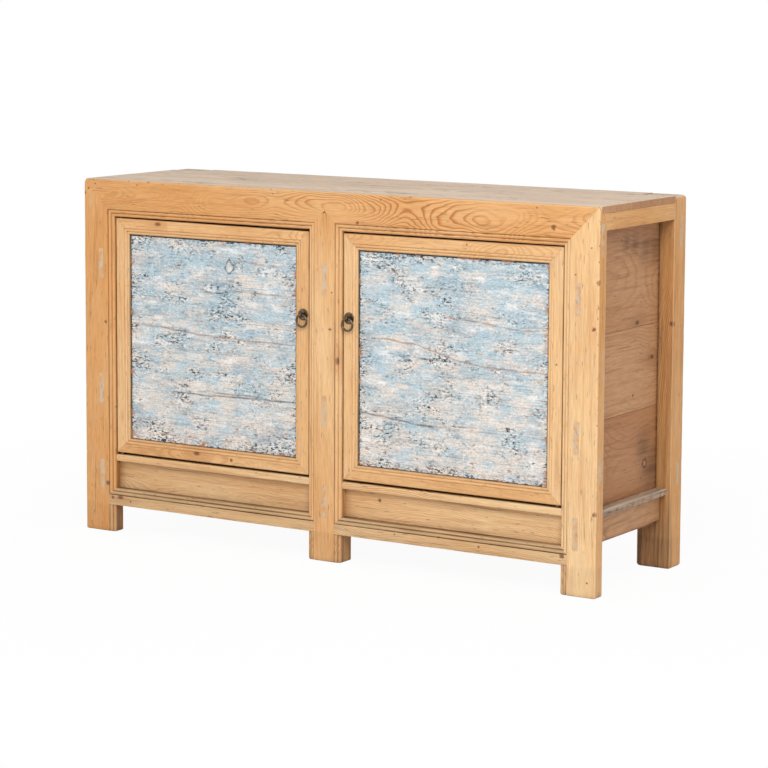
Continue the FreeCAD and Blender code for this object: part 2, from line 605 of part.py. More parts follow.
def ring_pull(side, x, stile):
    """Round backplate, split pin with its eye, and the ring that hangs in the eye."""
    face = back(DOOR_RECESS)
    centre = vector(x, face, PULL_HEIGHT)
    forward = vector(0, -1, 0)
    across = vector(1, 0, 0)
    hole = SHANK_RADIUS + SHANK_CLEARANCE
    crown = ((PLATE_FLAT_RADIUS + PLATE_RADIUS) / 2, (PLATE_RIM + 3 * PLATE_THICKNESS) / 4)
    rim = (PLATE_RADIUS, PLATE_RIM)
    flat = (PLATE_FLAT_RADIUS, PLATE_THICKNESS)
    run = lines((hole, 0), (PLATE_RADIUS, 0), rim) + [(rim, crown, flat)]
    run += lines(flat, (hole, PLATE_THICKNESS))

    def place(radius, height):
        return centre + across * radius + forward * height

    add(f"{side}_pull_plate", closed_face(run, place).revolve(centre, forward, 360))
    eye = centre + forward * EYE_STANDOFF
    loop = Part.makeTorus(EYE_RADIUS, EYE_WIRE_RADIUS, eye, across)
    shank_start = centre + forward * (EYE_STANDOFF - EYE_RADIUS)
    shank_length = EYE_STANDOFF - EYE_RADIUS + DOOR_THICKNESS + LEG_THICKNESS / 2
    shank = Part.makeCylinder(SHANK_RADIUS, shank_length, shank_start, forward * -1)
    half = LEG_WIDTH / 2
    heights = (PULL_HEIGHT - LEG_LENGTH, PULL_HEIGHT + LEG_LENGTH)
    legs = block(x - half, x + half, DOOR_BACK, DOOR_BACK + LEG_THICKNESS, *heights)
    add(f"{side}_pull_eye", loop.fuse([shank, legs]))
    hollow(stile, Part.makeCylinder(hole, DOOR_THICKNESS, centre, forward * -1))
    hang = eye - vector(0, 0, RING_RADIUS)
    add(f"{side}_pull_ring", Part.makeTorus(RING_RADIUS, RING_WIRE_RADIUS, hang, forward))


def build():
    """Lays out all pieces, then takes the mortises, grooves and bores out of them."""
    front_frame()
    front_joinery()
    for side in SIDES:
        front_rails(side)
    rear_frame()
    bearers()
    for side in SIDES:
        end_frame(side)
    top()
    inner_boards()
    door_stops()
    for side in SIDES:
        door(side)
    os.makedirs("parts", exist_ok=True)
    for name, shape in pieces.items():
        if name in hollows:
            shape = shape.cut(hollows[name])
        shape = shape.removeSplitter()
        shape.exportStep(f"parts/{name}.step")
        print(name, "solids", len(shape.Solids), "valid", shape.isValid())
    print(len(pieces), "pieces")


build()
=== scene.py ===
import math

import bpy
import numpy as np
from bpy.props import FloatProperty, FloatVectorProperty, PointerProperty
from mathutils import Matrix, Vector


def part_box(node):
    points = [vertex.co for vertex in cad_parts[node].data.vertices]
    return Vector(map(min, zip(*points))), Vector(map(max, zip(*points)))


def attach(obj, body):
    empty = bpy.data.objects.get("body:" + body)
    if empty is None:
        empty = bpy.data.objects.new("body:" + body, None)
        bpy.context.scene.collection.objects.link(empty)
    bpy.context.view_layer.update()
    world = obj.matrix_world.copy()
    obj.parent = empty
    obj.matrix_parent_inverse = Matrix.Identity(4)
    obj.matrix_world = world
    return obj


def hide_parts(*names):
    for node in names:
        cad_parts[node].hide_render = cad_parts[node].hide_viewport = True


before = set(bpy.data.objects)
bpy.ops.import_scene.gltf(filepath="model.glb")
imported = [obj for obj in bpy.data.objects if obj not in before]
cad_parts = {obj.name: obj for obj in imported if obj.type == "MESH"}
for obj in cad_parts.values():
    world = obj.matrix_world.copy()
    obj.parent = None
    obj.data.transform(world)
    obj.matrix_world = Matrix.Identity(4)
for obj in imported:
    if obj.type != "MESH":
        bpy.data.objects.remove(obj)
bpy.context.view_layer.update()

bl_info = {
    "name": "Reclaimed pine sideboard",
    "version": (1, 0, 0),
    "blender": (4, 5, 0),
    "location": "3D View > Sidebar > Sideboard",
    "description": "Dresses the joined frame of a two-door pine sideboard in worn wood, paint and iron",
    "category": "Object",
}

BOX = {name: np.array(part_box(name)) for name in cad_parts}
SIDES = {"left": -1.0, "right": 1.0}
ALONG_X, ALONG_Y, UPRIGHT = range(3)

# Planes and widths that the frame's own boxes give, in metres
X_OUT = BOX["front_post_right"][1][0]
Y_FRONT, Y_POST = BOX["front_post_left"][:, 1]
Y_REAR, Y_BACK = BOX["rear_post_left"][:, 1]
Z_SEAT, Z_TOP = BOX["top_board_middle"][:, 2]
POST_WIDTH = BOX["front_post_left"][1][0] + X_OUT
POST_DEPTH = Y_POST - Y_FRONT
REAR_REACH = X_OUT - np.ptp(BOX["rear_post_left"][:, 0])
TOP_LIP = BOX["top_board_front"][0][1] - Y_FRONT
FOOT_TOP, RAIL_TOP = BOX["bottom_rail_left"][:, 2]
OPENING_TOP = BOX["front_top_rail"][0][2]
CENTRE_X = BOX["front_post_centre"][:, 0].mean()
HALF_CENTRE = np.ptp(BOX["front_post_centre"][:, 0]) / 2
BAYS = {"left": (POST_WIDTH - X_OUT, CENTRE_X - HALF_CENTRE),
        "right": (CENTRE_X + HALF_CENTRE, X_OUT - POST_WIDTH)}

# Small sizes of the joinery, in metres
RAIL_LAP = 0.014
HAIRLINE = 0.0003
BACK_GAP = 0.0004
SEAM = 0.0009
NOTCH_GAP = 0.0004
PROUD = 0.0004
TENON_WIDTH = 0.014
CENTRE_CHEEK = 0.006
PLUG_DEPTH = 0.006
PLUG_WIDTH = 0.013
STOP_LENGTH = 0.14
EYE_WIRE = 0.0014
EYE_LEG_SHIFT = 0.0009
EPSILON = 1e-5

# The two beads along an opening, in shares of their drop: the groove's depth, then the bead's start, crown
# and end
BEAD_LEVELS = ((0.42, (0.2, 0.06, 0.4)), (0.85, (0.6, 0.5, 1.0)))
FOOT_ROUNDING = (0.004, 0.0)
DOOR_FRAME = ("hinge_stile", "lock_stile", "top_rail", "bottom_rail")
# Of these marks, rim is a painted shadow with dirt along the panel's edges
PAINT_MARKS = ("crack", "bare", "edge", "rim", "pale")
SMOOTH = {"interpolation_type": "SMOOTHSTEP"}

# Knots, nail holes and stains of the front, in metres: across, up and radius
FRONT_MARKS = (
    (-0.659, 0.53, 0.006), (-0.656, 0.122, 0.008), (-0.585, 0.083, 0.004), (-0.64, 0.088, 0.006),
    (0.086, 0.817, 0.006), (0.609, 0.834, 0.009), (0.01, 0.56, 0.006), (0.015, 0.648, 0.003),
    (0.714, 0.612, 0.007), (0.725, 0.716, 0.008), (0.721, 0.193, 0.007), (0.639, 0.09, 0.008),
    (0.422, 0.085, 0.004), (0.313, 0.095, 0.004), (0.705, 0.035, 0.0035), (-0.559, 0.876, 0.003),
    (-0.154, 0.873, 0.003), (0.15, 0.873, 0.003), (0.565, 0.876, 0.003), (0.666, 0.731, 0.003),
    (0.705, 0.793, 0.003), (-0.722, 0.85, 0.005), (-0.71, 0.862, 0.004), (-0.69, 0.874, 0.003),
)

# Lines on the painted panels: shares of the height at even steps of the width, the stretch of the width
# that shows, and how much dark and bare wood it shows
PANEL_JOINTS = {
    "left": (((0.258, 0.258, 0.256, 0.256, 0.262, 0.264, 0.264), (0.25, 1.1), 1.0, 0.0),
             ((0.57, 0.56, 0.547, 0.535, 0.532, 0.53, 0.529), (0.08, 1.1), 0.05, 0.85)),
    "right": (((0.257, 0.243, 0.224, 0.219, 0.222, 0.222, 0.22), (-0.1, 0.46), 0.95, 0.0),
              ((0.605, 0.597, 0.58, 0.535, 0.51, 0.507, 0.504), (0.08, 1.1), 0.1, 0.85)),
}
PANEL_CRACKS = {
    "left": (((0.757, 0.757, 0.75), (0.6, 1.0), 0.1, 0.8), ((0.729, 0.742, 0.74), (0.42, 0.6), 0.95, 0.0),
             ((0.93, 0.905, 0.875), (0.6, 0.92), 0.1, 0.6), ((0.272, 0.272, 0.275), (0.4, 0.85), 0.7, 0.0)),
    "right": (((0.73, 0.73, 0.73, 0.717, 0.704, 0.684, 0.69), (0.44, 0.95), 0.1, 0.7),
              ((0.245, 0.235, 0.235), (0.48, 0.62), 0.7, 0.0), ((0.53, 0.52, 0.51), (0.2, 0.5), 0.7, 0.0),
              ((0.86, 0.84, 0.83), (0.3, 0.7), 0.4, 0.0)),
}


def linear(code):
    """Linear colour of an sRGB hex value."""
    parts = np.array([int(code[i:i + 2], 16) for i in (1, 3, 5)]) / 255
    return tuple(np.where(parts <= 0.04045, parts / 12.92, ((parts + 0.055) / 1.055) ** 2.4))


def length(default, label, text):
    """Property for a length in metres."""
    return FloatProperty(name=label, description=text, default=default, unit="LENGTH", precision=5)


def colour(code, label, text):
    """Property for a colour, given as sRGB hex."""
    return FloatVectorProperty(name=label, description=text, default=linear(code), subtype="COLOR", size=3)


class SideboardSizes(bpy.types.PropertyGroup):
    """Sizes of mouldings, gaps and wear."""

    bead_width: length(0.018, "Bead width", "Beads round the two openings")
    bead_drop: length(0.0065, "Bead drop", "Fall of those beads towards the opening")
    door_bead_width: length(0.015, "Door bead width", "Beads round the door panels")
    door_bead_drop: length(0.0045, "Door bead drop", "Fall of those beads towards the panel")
    groove: length(0.002, "Groove", "Width of the quirk beside each bead")
    post_arris: length(0.004, "Post arris", "Rounding of the outer edges of posts and top rail")
    rail_arris: length(0.0025, "Rail arris", "Rounding of the lower edges of the bottom rails")
    door_arris: length(0.003, "Door arris", "Rounding of the doors' outer edges")
    slope: length(0.0028, "Door slope", "Fall of the left door's planed upper edge towards its lock stile")
    corner: length(0.011, "Top corner", "Rounding of the upper corners of the front")
    ripple: length(0.00022, "Ripple", "Unevenness that hand planing leaves")
    nick: length(0.0013, "Nick", "Depth of dents along worn edges")
    ragged: length(0.009, "Ragged lip", "Loss of wood along the lip of the side ledges")
    crack: length(0.0019, "Crack", "Half width of the cracks in the painted planks")


class SideboardColours(bpy.types.PropertyGroup):
    """Colours of the finishes."""

    straw: colour("#F0CB98", "Straw", "Palest pine of the front")
    honey: colour("#D89A58", "Honey", "Body of the front pine")
    ember: colour("#B87236", "Ember", "Late wood lines of the front pine")
    knot: colour("#6E3D1E", "Knot", "Hearts of the knots")
    # Umber also paints the shade in gaps and recesses of the pine
    umber: colour("#4A2C18", "Umber", "Dirt in grooves and cracks")
    bleached: colour("#EAD5BD", "Bleached", "Palest wood of the top")
    driftwood: colour("#D9BCA0", "Driftwood", "Body of the top")
    ash: colour("#9C8878", "Ash", "Grey stains and late wood of the top")
    tan: colour("#C9996E", "Tan", "Palest wood of the ends")
    walnut: colour("#AF794D", "Walnut brown", "Body of the wood at the ends")
    russet: colour("#84552F", "Russet", "Late wood lines at the ends")
    chalk: colour("#F8F5F1", "Chalk", "White scumble of the panels")
    cream: colour("#E9DCD0", "Cream", "Old ground coat of the panels")
    sky: colour("#B8CED8", "Sky", "Pale blue coat of the panels")
    storm: colour("#7F97A5", "Storm", "Dirty blue smears of the panels")
    dusk: colour("#5A6B74", "Dusk", "Scratches of the panels")
    # Slate also paints the shadow and dirt along the panels' edges
    slate: colour("#2B3033", "Slate", "Dark specks and cracks of the panels")
    chip: colour("#AC7A5A", "Chip", "Bare wood where the paint has gone")
    end_grain: colour("#CDB79A", "End grain", "Ends of the through tenons")
    iron: colour("#5E4D3A", "Iron", "Aged iron of rings, plates and pins")


def add(tree, kind, feeds=None, **settings):
    """One node with its settings; feeds fill its sockets with a value or a link. Gives its outputs."""
    node = tree.nodes.new("ShaderNode" + kind)
    for name, value in settings.items():
        setattr(node, name, value)
    for socket, value in (feeds or {}).items():
        if isinstance(value, bpy.types.NodeSocket):
            tree.links.new(value, node.inputs[socket])
        else:
            node.inputs[socket].default_value = value
    return node.outputs


def opaque(value):
    """Colour with its alpha."""
    return (*value, 1.0)


def blank(name):
    """Empty tree of a new material."""
    material = bpy.data.materials.new(name)
    material.use_nodes = True
    material.node_tree.nodes.clear()
    return material.node_tree


def stretched(tree, where, spread, detail=2.0, roughness=0.5):
    """Noise with as many cells per metre along each axis as spread says. Gives its outputs."""
    scaled = add(tree, "Mapping", {"Vector": where, "Scale": spread})[0]
    return add(tree, "TexNoise", {"Vector": scaled, "Scale": 1.0, "Detail": detail, "Roughness": roughness})


def layer(tree, where, spread, detail, roughness, start, full, strength, more=None):
    """Mask of stretched noise plus more: 0 where the sum is at start, strength where it is at full."""
    value = stretched(tree, where, spread, detail, roughness)["Fac"]
    if more is not None:
        value = add(tree, "Math", {0: value, 1: more}, operation="ADD")[0]
    return add(tree, "MapRange", {"Value": value, "From Min": start, "From Max": full, "To Max": strength},
               **SMOOTH)["Result"]


def spots(tree, places, core=0.9):
    """Mask of round marks: 1 inside the core of each (x, y, z, radius) of the object's own coordinates,
    fading out at half as much again; 0 where there are no places."""
    where = add(tree, "TexCoord")["Object"]
    ragged = add(tree, "TexNoise", {"Vector": where, "Scale": 170.0, "Detail": 1.0})["Fac"]
    total = 0.0
    for x, y, z, radius in places:
        away = add(tree, "VectorMath", {0: where, 1: (x, y, z)}, operation="DISTANCE")["Value"]
        away = add(tree, "Math", {0: ragged, 1: min(radius, 0.012), 2: away}, operation="MULTIPLY_ADD")[0]
        mark = add(tree, "MapRange", {"Value": away, "From Min": radius * 1.5, "From Max": radius * core},
                   **SMOOTH)["Result"]
        total = add(tree, "Math", {0: total, 1: mark}, operation="MAXIMUM")[0]
    return total


def surfaced(tree, tint, height, strength, distance, values):
    """Ends a material's tree: its colour, a relief of the given height and the shader's other values."""
    relief = add(tree, "Bump", {"Height": height, "Strength": strength, "Distance": distance})[0]
    shader = add(tree, "BsdfPrincipled", {"Base Color": tint, "Normal": relief, **values})
    add(tree, "OutputMaterial", {"Surface": shader[0]})


def pine(name, pale, body, late_wood, dirt, grey, knot, ring=0.0033, flame=0.085, figure=0.85, streaks=0.4,
         rough=0.58, knots=(), eyes=(), stains=()):
    """Old planed pine, waxed: pale early wood with darker late-wood lines in long flames, fibres, knots, dirt
    and painted shade in grooves, gaps and recesses, and dark nicks on rubbed edges. Ring distance and fibres
    are real sizes in metres; the fibres are drawn about three times as coarse as they are, so that they show."""
    tree = blank(name)
    grain = add(tree, "Attribute", attribute_name="grain")["Vector"]
    tone, grime, wear, own_figure = (add(tree, "Attribute", attribute_name=key)["Fac"]
                                     for key in ("tone", "grime", "wear", "figure"))

    # Knots: a sparse cell pattern in the plane of the plank, about one knot in 0.1 square metres
    flat = add(tree, "Mapping", {"Vector": grain, "Scale": (3.4, 6.5, 0.0)})[0]
    cell = add(tree, "TexVoronoi", {"Vector": flat, "Scale": 1.0}, voronoi_dimensions="2D")
    chosen = add(tree, "SeparateColor", {"Color": cell["Color"]})["Red"]
    chosen = add(tree, "Math", {0: chosen, 1: 0.8}, operation="GREATER_THAN")[0]
    heart, halo = (add(tree, "MapRange", {"Value": cell["Distance"], "From Min": edge, "From Max": core,
                                          "To Max": chosen}, **SMOOTH)["Result"]
                   for edge, core in ((0.045, 0.015), (0.22, 0.03)))
    heart = add(tree, "Math", {0: heart, 1: spots(tree, knots)}, operation="MAXIMUM")[0]

    # Growth rings: distance from the pith, which lies along the plank, bent by a slow wander, a quiver
    # and the knots
    wander = stretched(tree, grain, (4.6, 5.0, 5.0), 1.5, 0.45)["Color"]
    wander = add(tree, "VectorMath", {0: wander, 1: (0.5, 0.5, 0.5)}, operation="SUBTRACT")[0]
    quiver = stretched(tree, grain, (10.0, 42.0, 42.0))["Color"]
    push = add(tree, "CombineXYZ", {"Y": halo, "Z": halo})[0]
    bent = grain
    for shift, reach in ((wander, (0.0, flame * 0.3, flame)), (quiver, (0.0, 0.005, 0.005)),
                         (push, (0.0, 0.008, 0.02))):
        bent = add(tree, "VectorMath", {0: shift, 1: reach, 2: bent}, operation="MULTIPLY_ADD")[0]
    rings = add(tree, "TexWave", {"Vector": bent, "Scale": math.pi / 10 / ring, "Distortion": 0.25,
                                  "Detail": 1.0},
                wave_type="RINGS", rings_direction="X", wave_profile="SAW")["Fac"]
    rise, fall = (
        add(tree, "MapRange", {"Value": rings, "From Min": edge, "From Max": 0.9}, **SMOOTH)["Result"]
        for edge in (0.45, 1.0))

    # Where the figure is strong, cloudy changes of tone, streaks and fibres along the plank
    cloud = add(tree, "SeparateColor", {"Color": stretched(tree, grain, (2.4, 7.0, 7.0))["Color"]})
    strong = add(tree, "MapRange", {"Value": cloud["Red"], "From Min": 0.38, "From Max": 0.64, "To Min": 0.12,
                                    "To Max": figure}, **SMOOTH)["Result"]
    late = rise
    for share in (fall, strong, own_figure):
        late = add(tree, "Math", {0: late, 1: share}, operation="MULTIPLY")[0]
    streak = stretched(tree, grain, (4.0, 110.0, 110.0), 4.0, 0.6)["Fac"]
    fibre = stretched(tree, grain, (26.0, 380.0, 380.0))["Fac"]
    shade, lift, patchy, gloss = (
        add(tree, "MapRange", {"Value": value, "From Min": start, "From Max": full, "To Min": least,
                               "To Max": most})["Result"]
        for value, start, full, least, most in (
            (cloud["Green"], 0.3, 0.7, -0.25, 0.25), (fibre, 0.3, 0.7, 0.88, 1.1),
            (streak, 0.3, 0.6, 0.55, 1.0), (streak, 0.0, 1.0, rough - 0.08, rough + 0.12)))
    shade = add(tree, "Math", {0: shade, 1: tone}, operation="ADD", use_clamp=True)[0]
    band = add(tree, "MapRange", {"Value": streak, "From Min": 0.48, "From Max": 0.75, "To Max": streaks},
               **SMOOTH)["Result"]

    # Flecks about 10 mm long, long checks, grey scuffs, nicks on rubbed edges and worm holes
    fleck = layer(tree, grain, (38.0, 230.0, 230.0), 1.0, 0.5, 0.68, 0.78, 0.5)
    check = layer(tree, grain, (4.5, 260.0, 260.0), 1.0, 0.5, 0.66, 0.78, 0.45)
    fleck = add(tree, "Math", {0: fleck, 1: check}, operation="MAXIMUM")[0]
    scuff = layer(tree, grain, (45.0, 150.0, 150.0), 3.0, 0.6, 1.13, 1.27, 0.22, cloud["Blue"])
    nick = layer(tree, grain, (85.0, 140.0, 140.0), 2.0, 0.5, 0.62, 0.74, 0.7)
    worm = add(tree, "TexVoronoi", {"Vector": grain, "Scale": 21.0})
    hole = add(tree, "MapRange", {"Value": worm["Distance"], "From Min": 0.075, "From Max": 0.045,
                                  "To Max": 0.75})["Result"]
    lucky = add(tree, "SeparateColor", {"Color": worm["Color"]})["Green"]
    lucky = add(tree, "Math", {0: lucky, 1: 0.86}, operation="GREATER_THAN")[0]
    # Stains of dirt; on the right end panel a row of them also paints the shade under the upper rail
    stain_and_shade = add(tree, "Math", {0: spots(tree, stains, 0.0), 1: 0.7}, operation="MULTIPLY")[0]
    # The grime attribute brings dirt and painted shade, both mixed towards the dirt colour
    warm, dark, rub, soil_and_shade, hole, nick, stain_and_shade = (
        add(tree, "Math", {0: mask, 1: amount}, operation="MULTIPLY", use_clamp=True)[0]
        for mask, amount in ((halo, 0.35), (heart, 0.85), (wear, 0.35), (grime, patchy), (hole, lucky),
                             (nick, wear), (stain_and_shade, patchy)))

    tint = opaque(pale)
    for amount, shown in ((shade, body), (late, late_wood), (band, late_wood)):
        tint = add(tree, "Mix", {0: amount, 6: tint, 7: opaque(shown)}, data_type="RGBA")[2]
    tint = add(tree, "VectorMath", {0: tint, "Scale": lift}, operation="SCALE")[0]
    for amount, shown in ((fleck, dirt), (hole, dirt), (scuff, grey), (warm, late_wood), (stain_and_shade, dirt),
                          (dark, knot), (spots(tree, eyes), body), (soil_and_shade, dirt), (rub, pale), (nick, dirt)):
        tint = add(tree, "Mix", {0: amount, 6: tint, 7: opaque(shown)}, data_type="RGBA")[2]
    relief = add(tree, "Math", {0: fibre, 1: late}, operation="ADD")[0]
    surfaced(tree, tint, relief, 0.25, 0.0006, {"Roughness": gloss, "IOR": 1.5})


def old_paint(name, colours):
    """Thin chalky paint, scraped and washed, over pine planks: a cream ground under a pale blue coat that is
    bluer above and creamier below, brushed along the grain, with a faint pepper of dirt, dark specks in
    clusters, white scumble beside them, cracks along the grain, bare chips near the edges and a painted
    shadow with dirt along the panel's edges. Brush lines are 3 mm apart and specks 5 mm long."""
    tree = blank(name)
    where = add(tree, "TexCoord")["Object"]
    mask = {key: add(tree, "Attribute", attribute_name=key)["Fac"] for key in PAINT_MARKS}
    height = add(tree, "SeparateXYZ", {"Vector": where})["Z"]
    low, high = BOX["left_door_panel"][:, 2]
    above = add(tree, "MapRange", {"Value": height, "From Min": low, "From Max": high, "To Min": -0.042,
                                   "To Max": 0.042})["Result"]
    last = add(tree, "MapRange", {"Value": height, "From Min": low + 0.1, "From Max": low,
                                  "To Max": 0.07})["Result"]
    crowd = add(tree, "Math", {0: last, 1: 0.4, 2: mask["edge"]}, operation="MULTIPLY_ADD")[0]

    # Layers: spread along and up the plank per metre, detail, roughness, where they begin and are full,
    # strength, and what adds to them
    layers = {
        "coat": (11.0, 25.0, 9.0, 0.76, 0.41, 0.59, 1.0, above),
        "cloud": (7.5, 15.0, 6.0, 0.72, 0.48, 0.7, 0.6, None),
        "smear": (10.0, 60.0, 7.0, 0.78, 0.48, 0.7, 0.6, None),
        "brush": (12.0, 340.0, 4.0, 0.65, 0.48, 0.66, 0.55, None),
        "wash": (15.0, 42.0, 7.0, 0.74, 0.5, 0.66, 0.7, None),
        "scumble": (90.0, 170.0, 5.0, 0.78, 0.52, 0.66, 0.7, None),
        "worn": (7.0, 15.0, 5.0, 0.7, 0.44, 0.58, 1.0, crowd),
        "scratch": (38.0, 190.0, 5.0, 0.78, 0.52, 0.67, 0.8, None),
        "cluster": (8.5, 17.0, 6.0, 0.72, 0.465, 0.64, 1.0, crowd),
        "pepper": (105.0, 220.0, 3.0, 0.72, 0.53, 0.64, 0.26, None),
        "speck": (100.0, 210.0, 3.0, 0.72, 0.52, 0.58, 1.0, None),
        "blot": (48.0, 125.0, 4.0, 0.75, 0.56, 0.61, 1.2, None),
        "splash": (100.0, 210.0, 3.0, 0.72, 0.46, 0.38, 0.7, None),
        # A painted shadow with dirt along the panel's edges
        "rim_shadow_and_dirt": (85.0, 85.0, 4.0, 0.7, 0.95, 1.12, 0.95, mask["rim"]),
        "grit": (190.0, 270.0, 2.0, 0.5, 0.3, 0.7, 1.0, None),
        "flake": (28.0, 42.0, 4.0, 0.65, 0.55, 0.6, 8.0, None),
        "chip": (42.0, 90.0, 3.0, 0.6, 0.655, 0.71, 0.85, last),
    }
    for key, (along, up, *rest) in layers.items():
        mask[key] = layer(tree, where, (along, 0.0, up), *rest)
    for key, other in (("speck", "cluster"), ("blot", "cluster"), ("splash", "cluster"), ("scratch", "worn"),
                       ("flake", "edge")):
        mask[key] = add(tree, "Math", {0: mask[key], 1: mask[other]}, operation="MULTIPLY", use_clamp=True)[0]
    tint = opaque(colours.cream)
    for paint, keys in (("sky", ("coat",)), ("storm", ("cloud", "smear", "brush")),
                        ("dusk", ("pepper", "scratch")), ("chalk", ("wash", "scumble")), ("cream", ("pale",)),
                        ("chalk", ("splash",)), ("slate", ("speck", "blot", "rim_shadow_and_dirt")),
                        ("chip", ("flake", "chip", "bare")), ("slate", ("crack",))):
        coat = opaque(getattr(colours, paint))
        for key in keys:
            tint = add(tree, "Mix", {0: mask[key], 6: tint, 7: coat}, data_type="RGBA")[2]
    lift = add(tree, "MapRange", {"Value": mask["grit"], "To Min": 0.88, "To Max": 1.08})["Result"]
    tint = add(tree, "VectorMath", {0: tint, "Scale": lift}, operation="SCALE")[0]

    along, up, detail, roughness = layers["brush"][:4]
    strokes = stretched(tree, where, (along, 0.0, up), detail, roughness)["Fac"]
    relief = add(tree, "Math", {0: strokes, 1: mask["speck"]}, operation="SUBTRACT")[0]
    surfaced(tree, tint, relief, 0.35, 0.0008, {"Roughness": 0.8, "IOR": 1.45})


def end_grain(name, colours):
    """Sawn ends of pine tenons, greyed by handling: pale, with short dark marks where the pores hold dirt.
    Marks are about 5 mm long."""
    tree = blank(name)
    where = add(tree, "TexCoord")["Object"]
    mottle = stretched(tree, where, (120.0, 120.0, 55.0), 3.0)["Fac"]
    cloud = stretched(tree, where, (70.0, 70.0, 45.0), 4.0, 0.7)["Fac"]
    cloud = add(tree, "MapRange", {"Value": cloud, "From Min": 0.36, "From Max": 0.56})["Result"]
    pores = add(tree, "MapRange", {"Value": mottle, "From Min": 0.55, "From Max": 0.72, "To Max": 0.6},
                **SMOOTH)["Result"]
    tint = opaque(colours.honey)
    for amount, shown in ((cloud, colours.end_grain), (pores, colours.ash)):
        tint = add(tree, "Mix", {0: amount, 6: tint, 7: opaque(shown)}, data_type="RGBA")[2]
    surfaced(tree, tint, mottle, 0.3, 0.0005, {"Roughness": 0.75, "IOR": 1.5})


def forged_iron(name, colours):
    """Hand-forged iron, dark with age and rubbed brighter on its high spots; hammer marks about 3 mm wide."""
    tree = blank(name)
    where = add(tree, "TexCoord")["Object"]
    hammer = add(tree, "TexNoise", {"Vector": where, "Scale": 320.0, "Detail": 2.0})["Fac"]
    rust = add(tree, "TexNoise", {"Vector": where, "Scale": 900.0, "Detail": 3.0})["Fac"]
    rubbed = add(tree, "MapRange", {"Value": hammer, "From Min": 0.45, "From Max": 0.7, "To Max": 0.5},
                 **SMOOTH)["Result"]
    brown = add(tree, "MapRange", {"Value": rust, "From Min": 0.55, "From Max": 0.75,
                                   "To Max": 0.5})["Result"]
    tint = opaque(colours.iron)
    for amount, shown in ((rubbed, colours.ash), (brown, colours.umber)):
        tint = add(tree, "Mix", {0: amount, 6: tint, 7: opaque(shown)}, data_type="RGBA")[2]
    gloss = add(tree, "MapRange", {"Value": rust, "To Min": 0.12, "To Max": 0.45})["Result"]
    surfaced(tree, tint, hammer, 0.4, 0.0004, {"Roughness": gloss, "Metallic": 0.85})


def sweep_points(*stretches):
    """Joins stretches of a profile, each a tuple of across, depth, grime with painted shade, and wear, into
    four arrays.
    """
    columns = [[np.broadcast_to(value, np.shape(stretch[0])) for value in stretch] for stretch in stretches]
    return tuple(np.concatenate([column[i] for column in columns]) for i in range(4))


def beads(start, width, drop, groove, soil_and_shade):
    """Groove, bead, groove, bead: each bead is the parabola through its start, crown and end; the last
    argument gives the dirt in each groove, and dirt with painted shade at the inner edge."""
    bead = width / 2 - groove
    share = np.linspace(0, 1, 8)
    stretches = []
    place, before = start, 0.0
    for number, (sink, (first, crown, last)) in enumerate(BEAD_LEVELS):
        quirk = place + groove * np.array([0.0, 0.3, 0.5, 0.7])
        deep = drop * np.array([before, 0.85 * sink + 0.15 * before, sink, 0.85 * sink + 0.15 * first])
        stretches.append((quirk, deep, soil_and_shade[number] * np.array([0.3, 0.9, 1.0, 0.9]), 0.0))
        curve = first + (4 * crown - 3 * first - last) * share + 2 * (first + last - 2 * crown) * share ** 2
        rim = np.abs(2 * share - 1) ** 4
        # Dirt at the bead's edges; on the second bead, dirt and painted shade growing towards the inner edge
        dirt = 0.25 * soil_and_shade[number] * rim + soil_and_shade[2] * share ** 3 * number
        stretches.append((place + groove + bead * share, drop * curve, dirt, 0.5 * (1 - rim)))
        place, before = place + groove + bead, last
    return stretches


def moulding(face, bead_width, bead_drop, arris, depth, groove, soil_and_shade=(0.6, 0.2, 0.1), outer_shade=0.0,
             inner_shade=0.6, rabbet=(0.0, 0.0), lap=None, stop=None):
    """Closed profile of a post, rail or stile: outer side, quarter-round arris, plain face, beads, inner side
    and back. A rabbet (across, depth) takes a corner off its outer back; lap is the depth to which a
    neighbour laps over its inner side; stop is a place on the face where a cut across it turns."""
    turn = np.linspace(0, math.pi / 2, 6)
    inner = face + bead_width
    cut, lip = rabbet
    stretches = []
    # The outer side and its arris take painted shade by the outer amount: the gap round a door reads dark
    if cut:
        stretches.append((np.array([cut, cut]), np.array([depth, lip + EPSILON]), 0.0, 0.0))
        stretches.append((np.zeros(2), np.array([lip, (lip + arris) / 2]), 0.0, 0.0))
    else:
        stops = [depth, (depth + lip) / 2, lip + 0.001, lip + EPSILON, lip] if lip else [depth, depth * 0.6]
        stretches.append((np.zeros(len(stops)), np.array(stops), outer_shade, 0.0))
    stretches.append((arris * (1 - np.cos(turn)), arris * (1 - np.sin(turn)), outer_shade * np.cos(turn) ** 2,
                      np.sin(2 * turn) * (1 - outer_shade)))
    plain = np.linspace(arris, face - EPSILON, 13)[1:]
    if stop:
        plain = np.sort(np.append(plain, stop))
    stretches.append((plain, np.zeros(len(plain)), 0.0, 0.0))
    stretches += beads(face, bead_width, bead_drop, groove, soil_and_shade)
    laps = [lap - EPSILON, lap + EPSILON] if lap else []
    back = np.array([bead_drop + 0.004, *laps, depth])
    # The inner side takes painted shade by the inner amount, darkening the gap round a door
    stretches.append((np.full(len(back), inner), back, inner_shade, 0.0))
    stretches.append((np.array([inner * 0.66, inner * 0.33]), np.full(2, depth), 0.0, 0.0))
    return sweep_points(*stretches)


def swell(u, v, seed, long=0.16, short=0.05):
    """Smooth unevenness between -1 and 1: six sine waves of random direction and phase."""
    random = np.random.default_rng(seed)
    total = np.zeros(np.broadcast(u, v).shape)
    for _ in range(6):
        turns = random.uniform(0.5, 1.5) / long, random.uniform(-1.2, 1.2) / short
        total = total + np.sin(2 * math.pi * (turns[0] * u + turns[1] * v) + random.uniform(0, 6.28))
    return total / 6


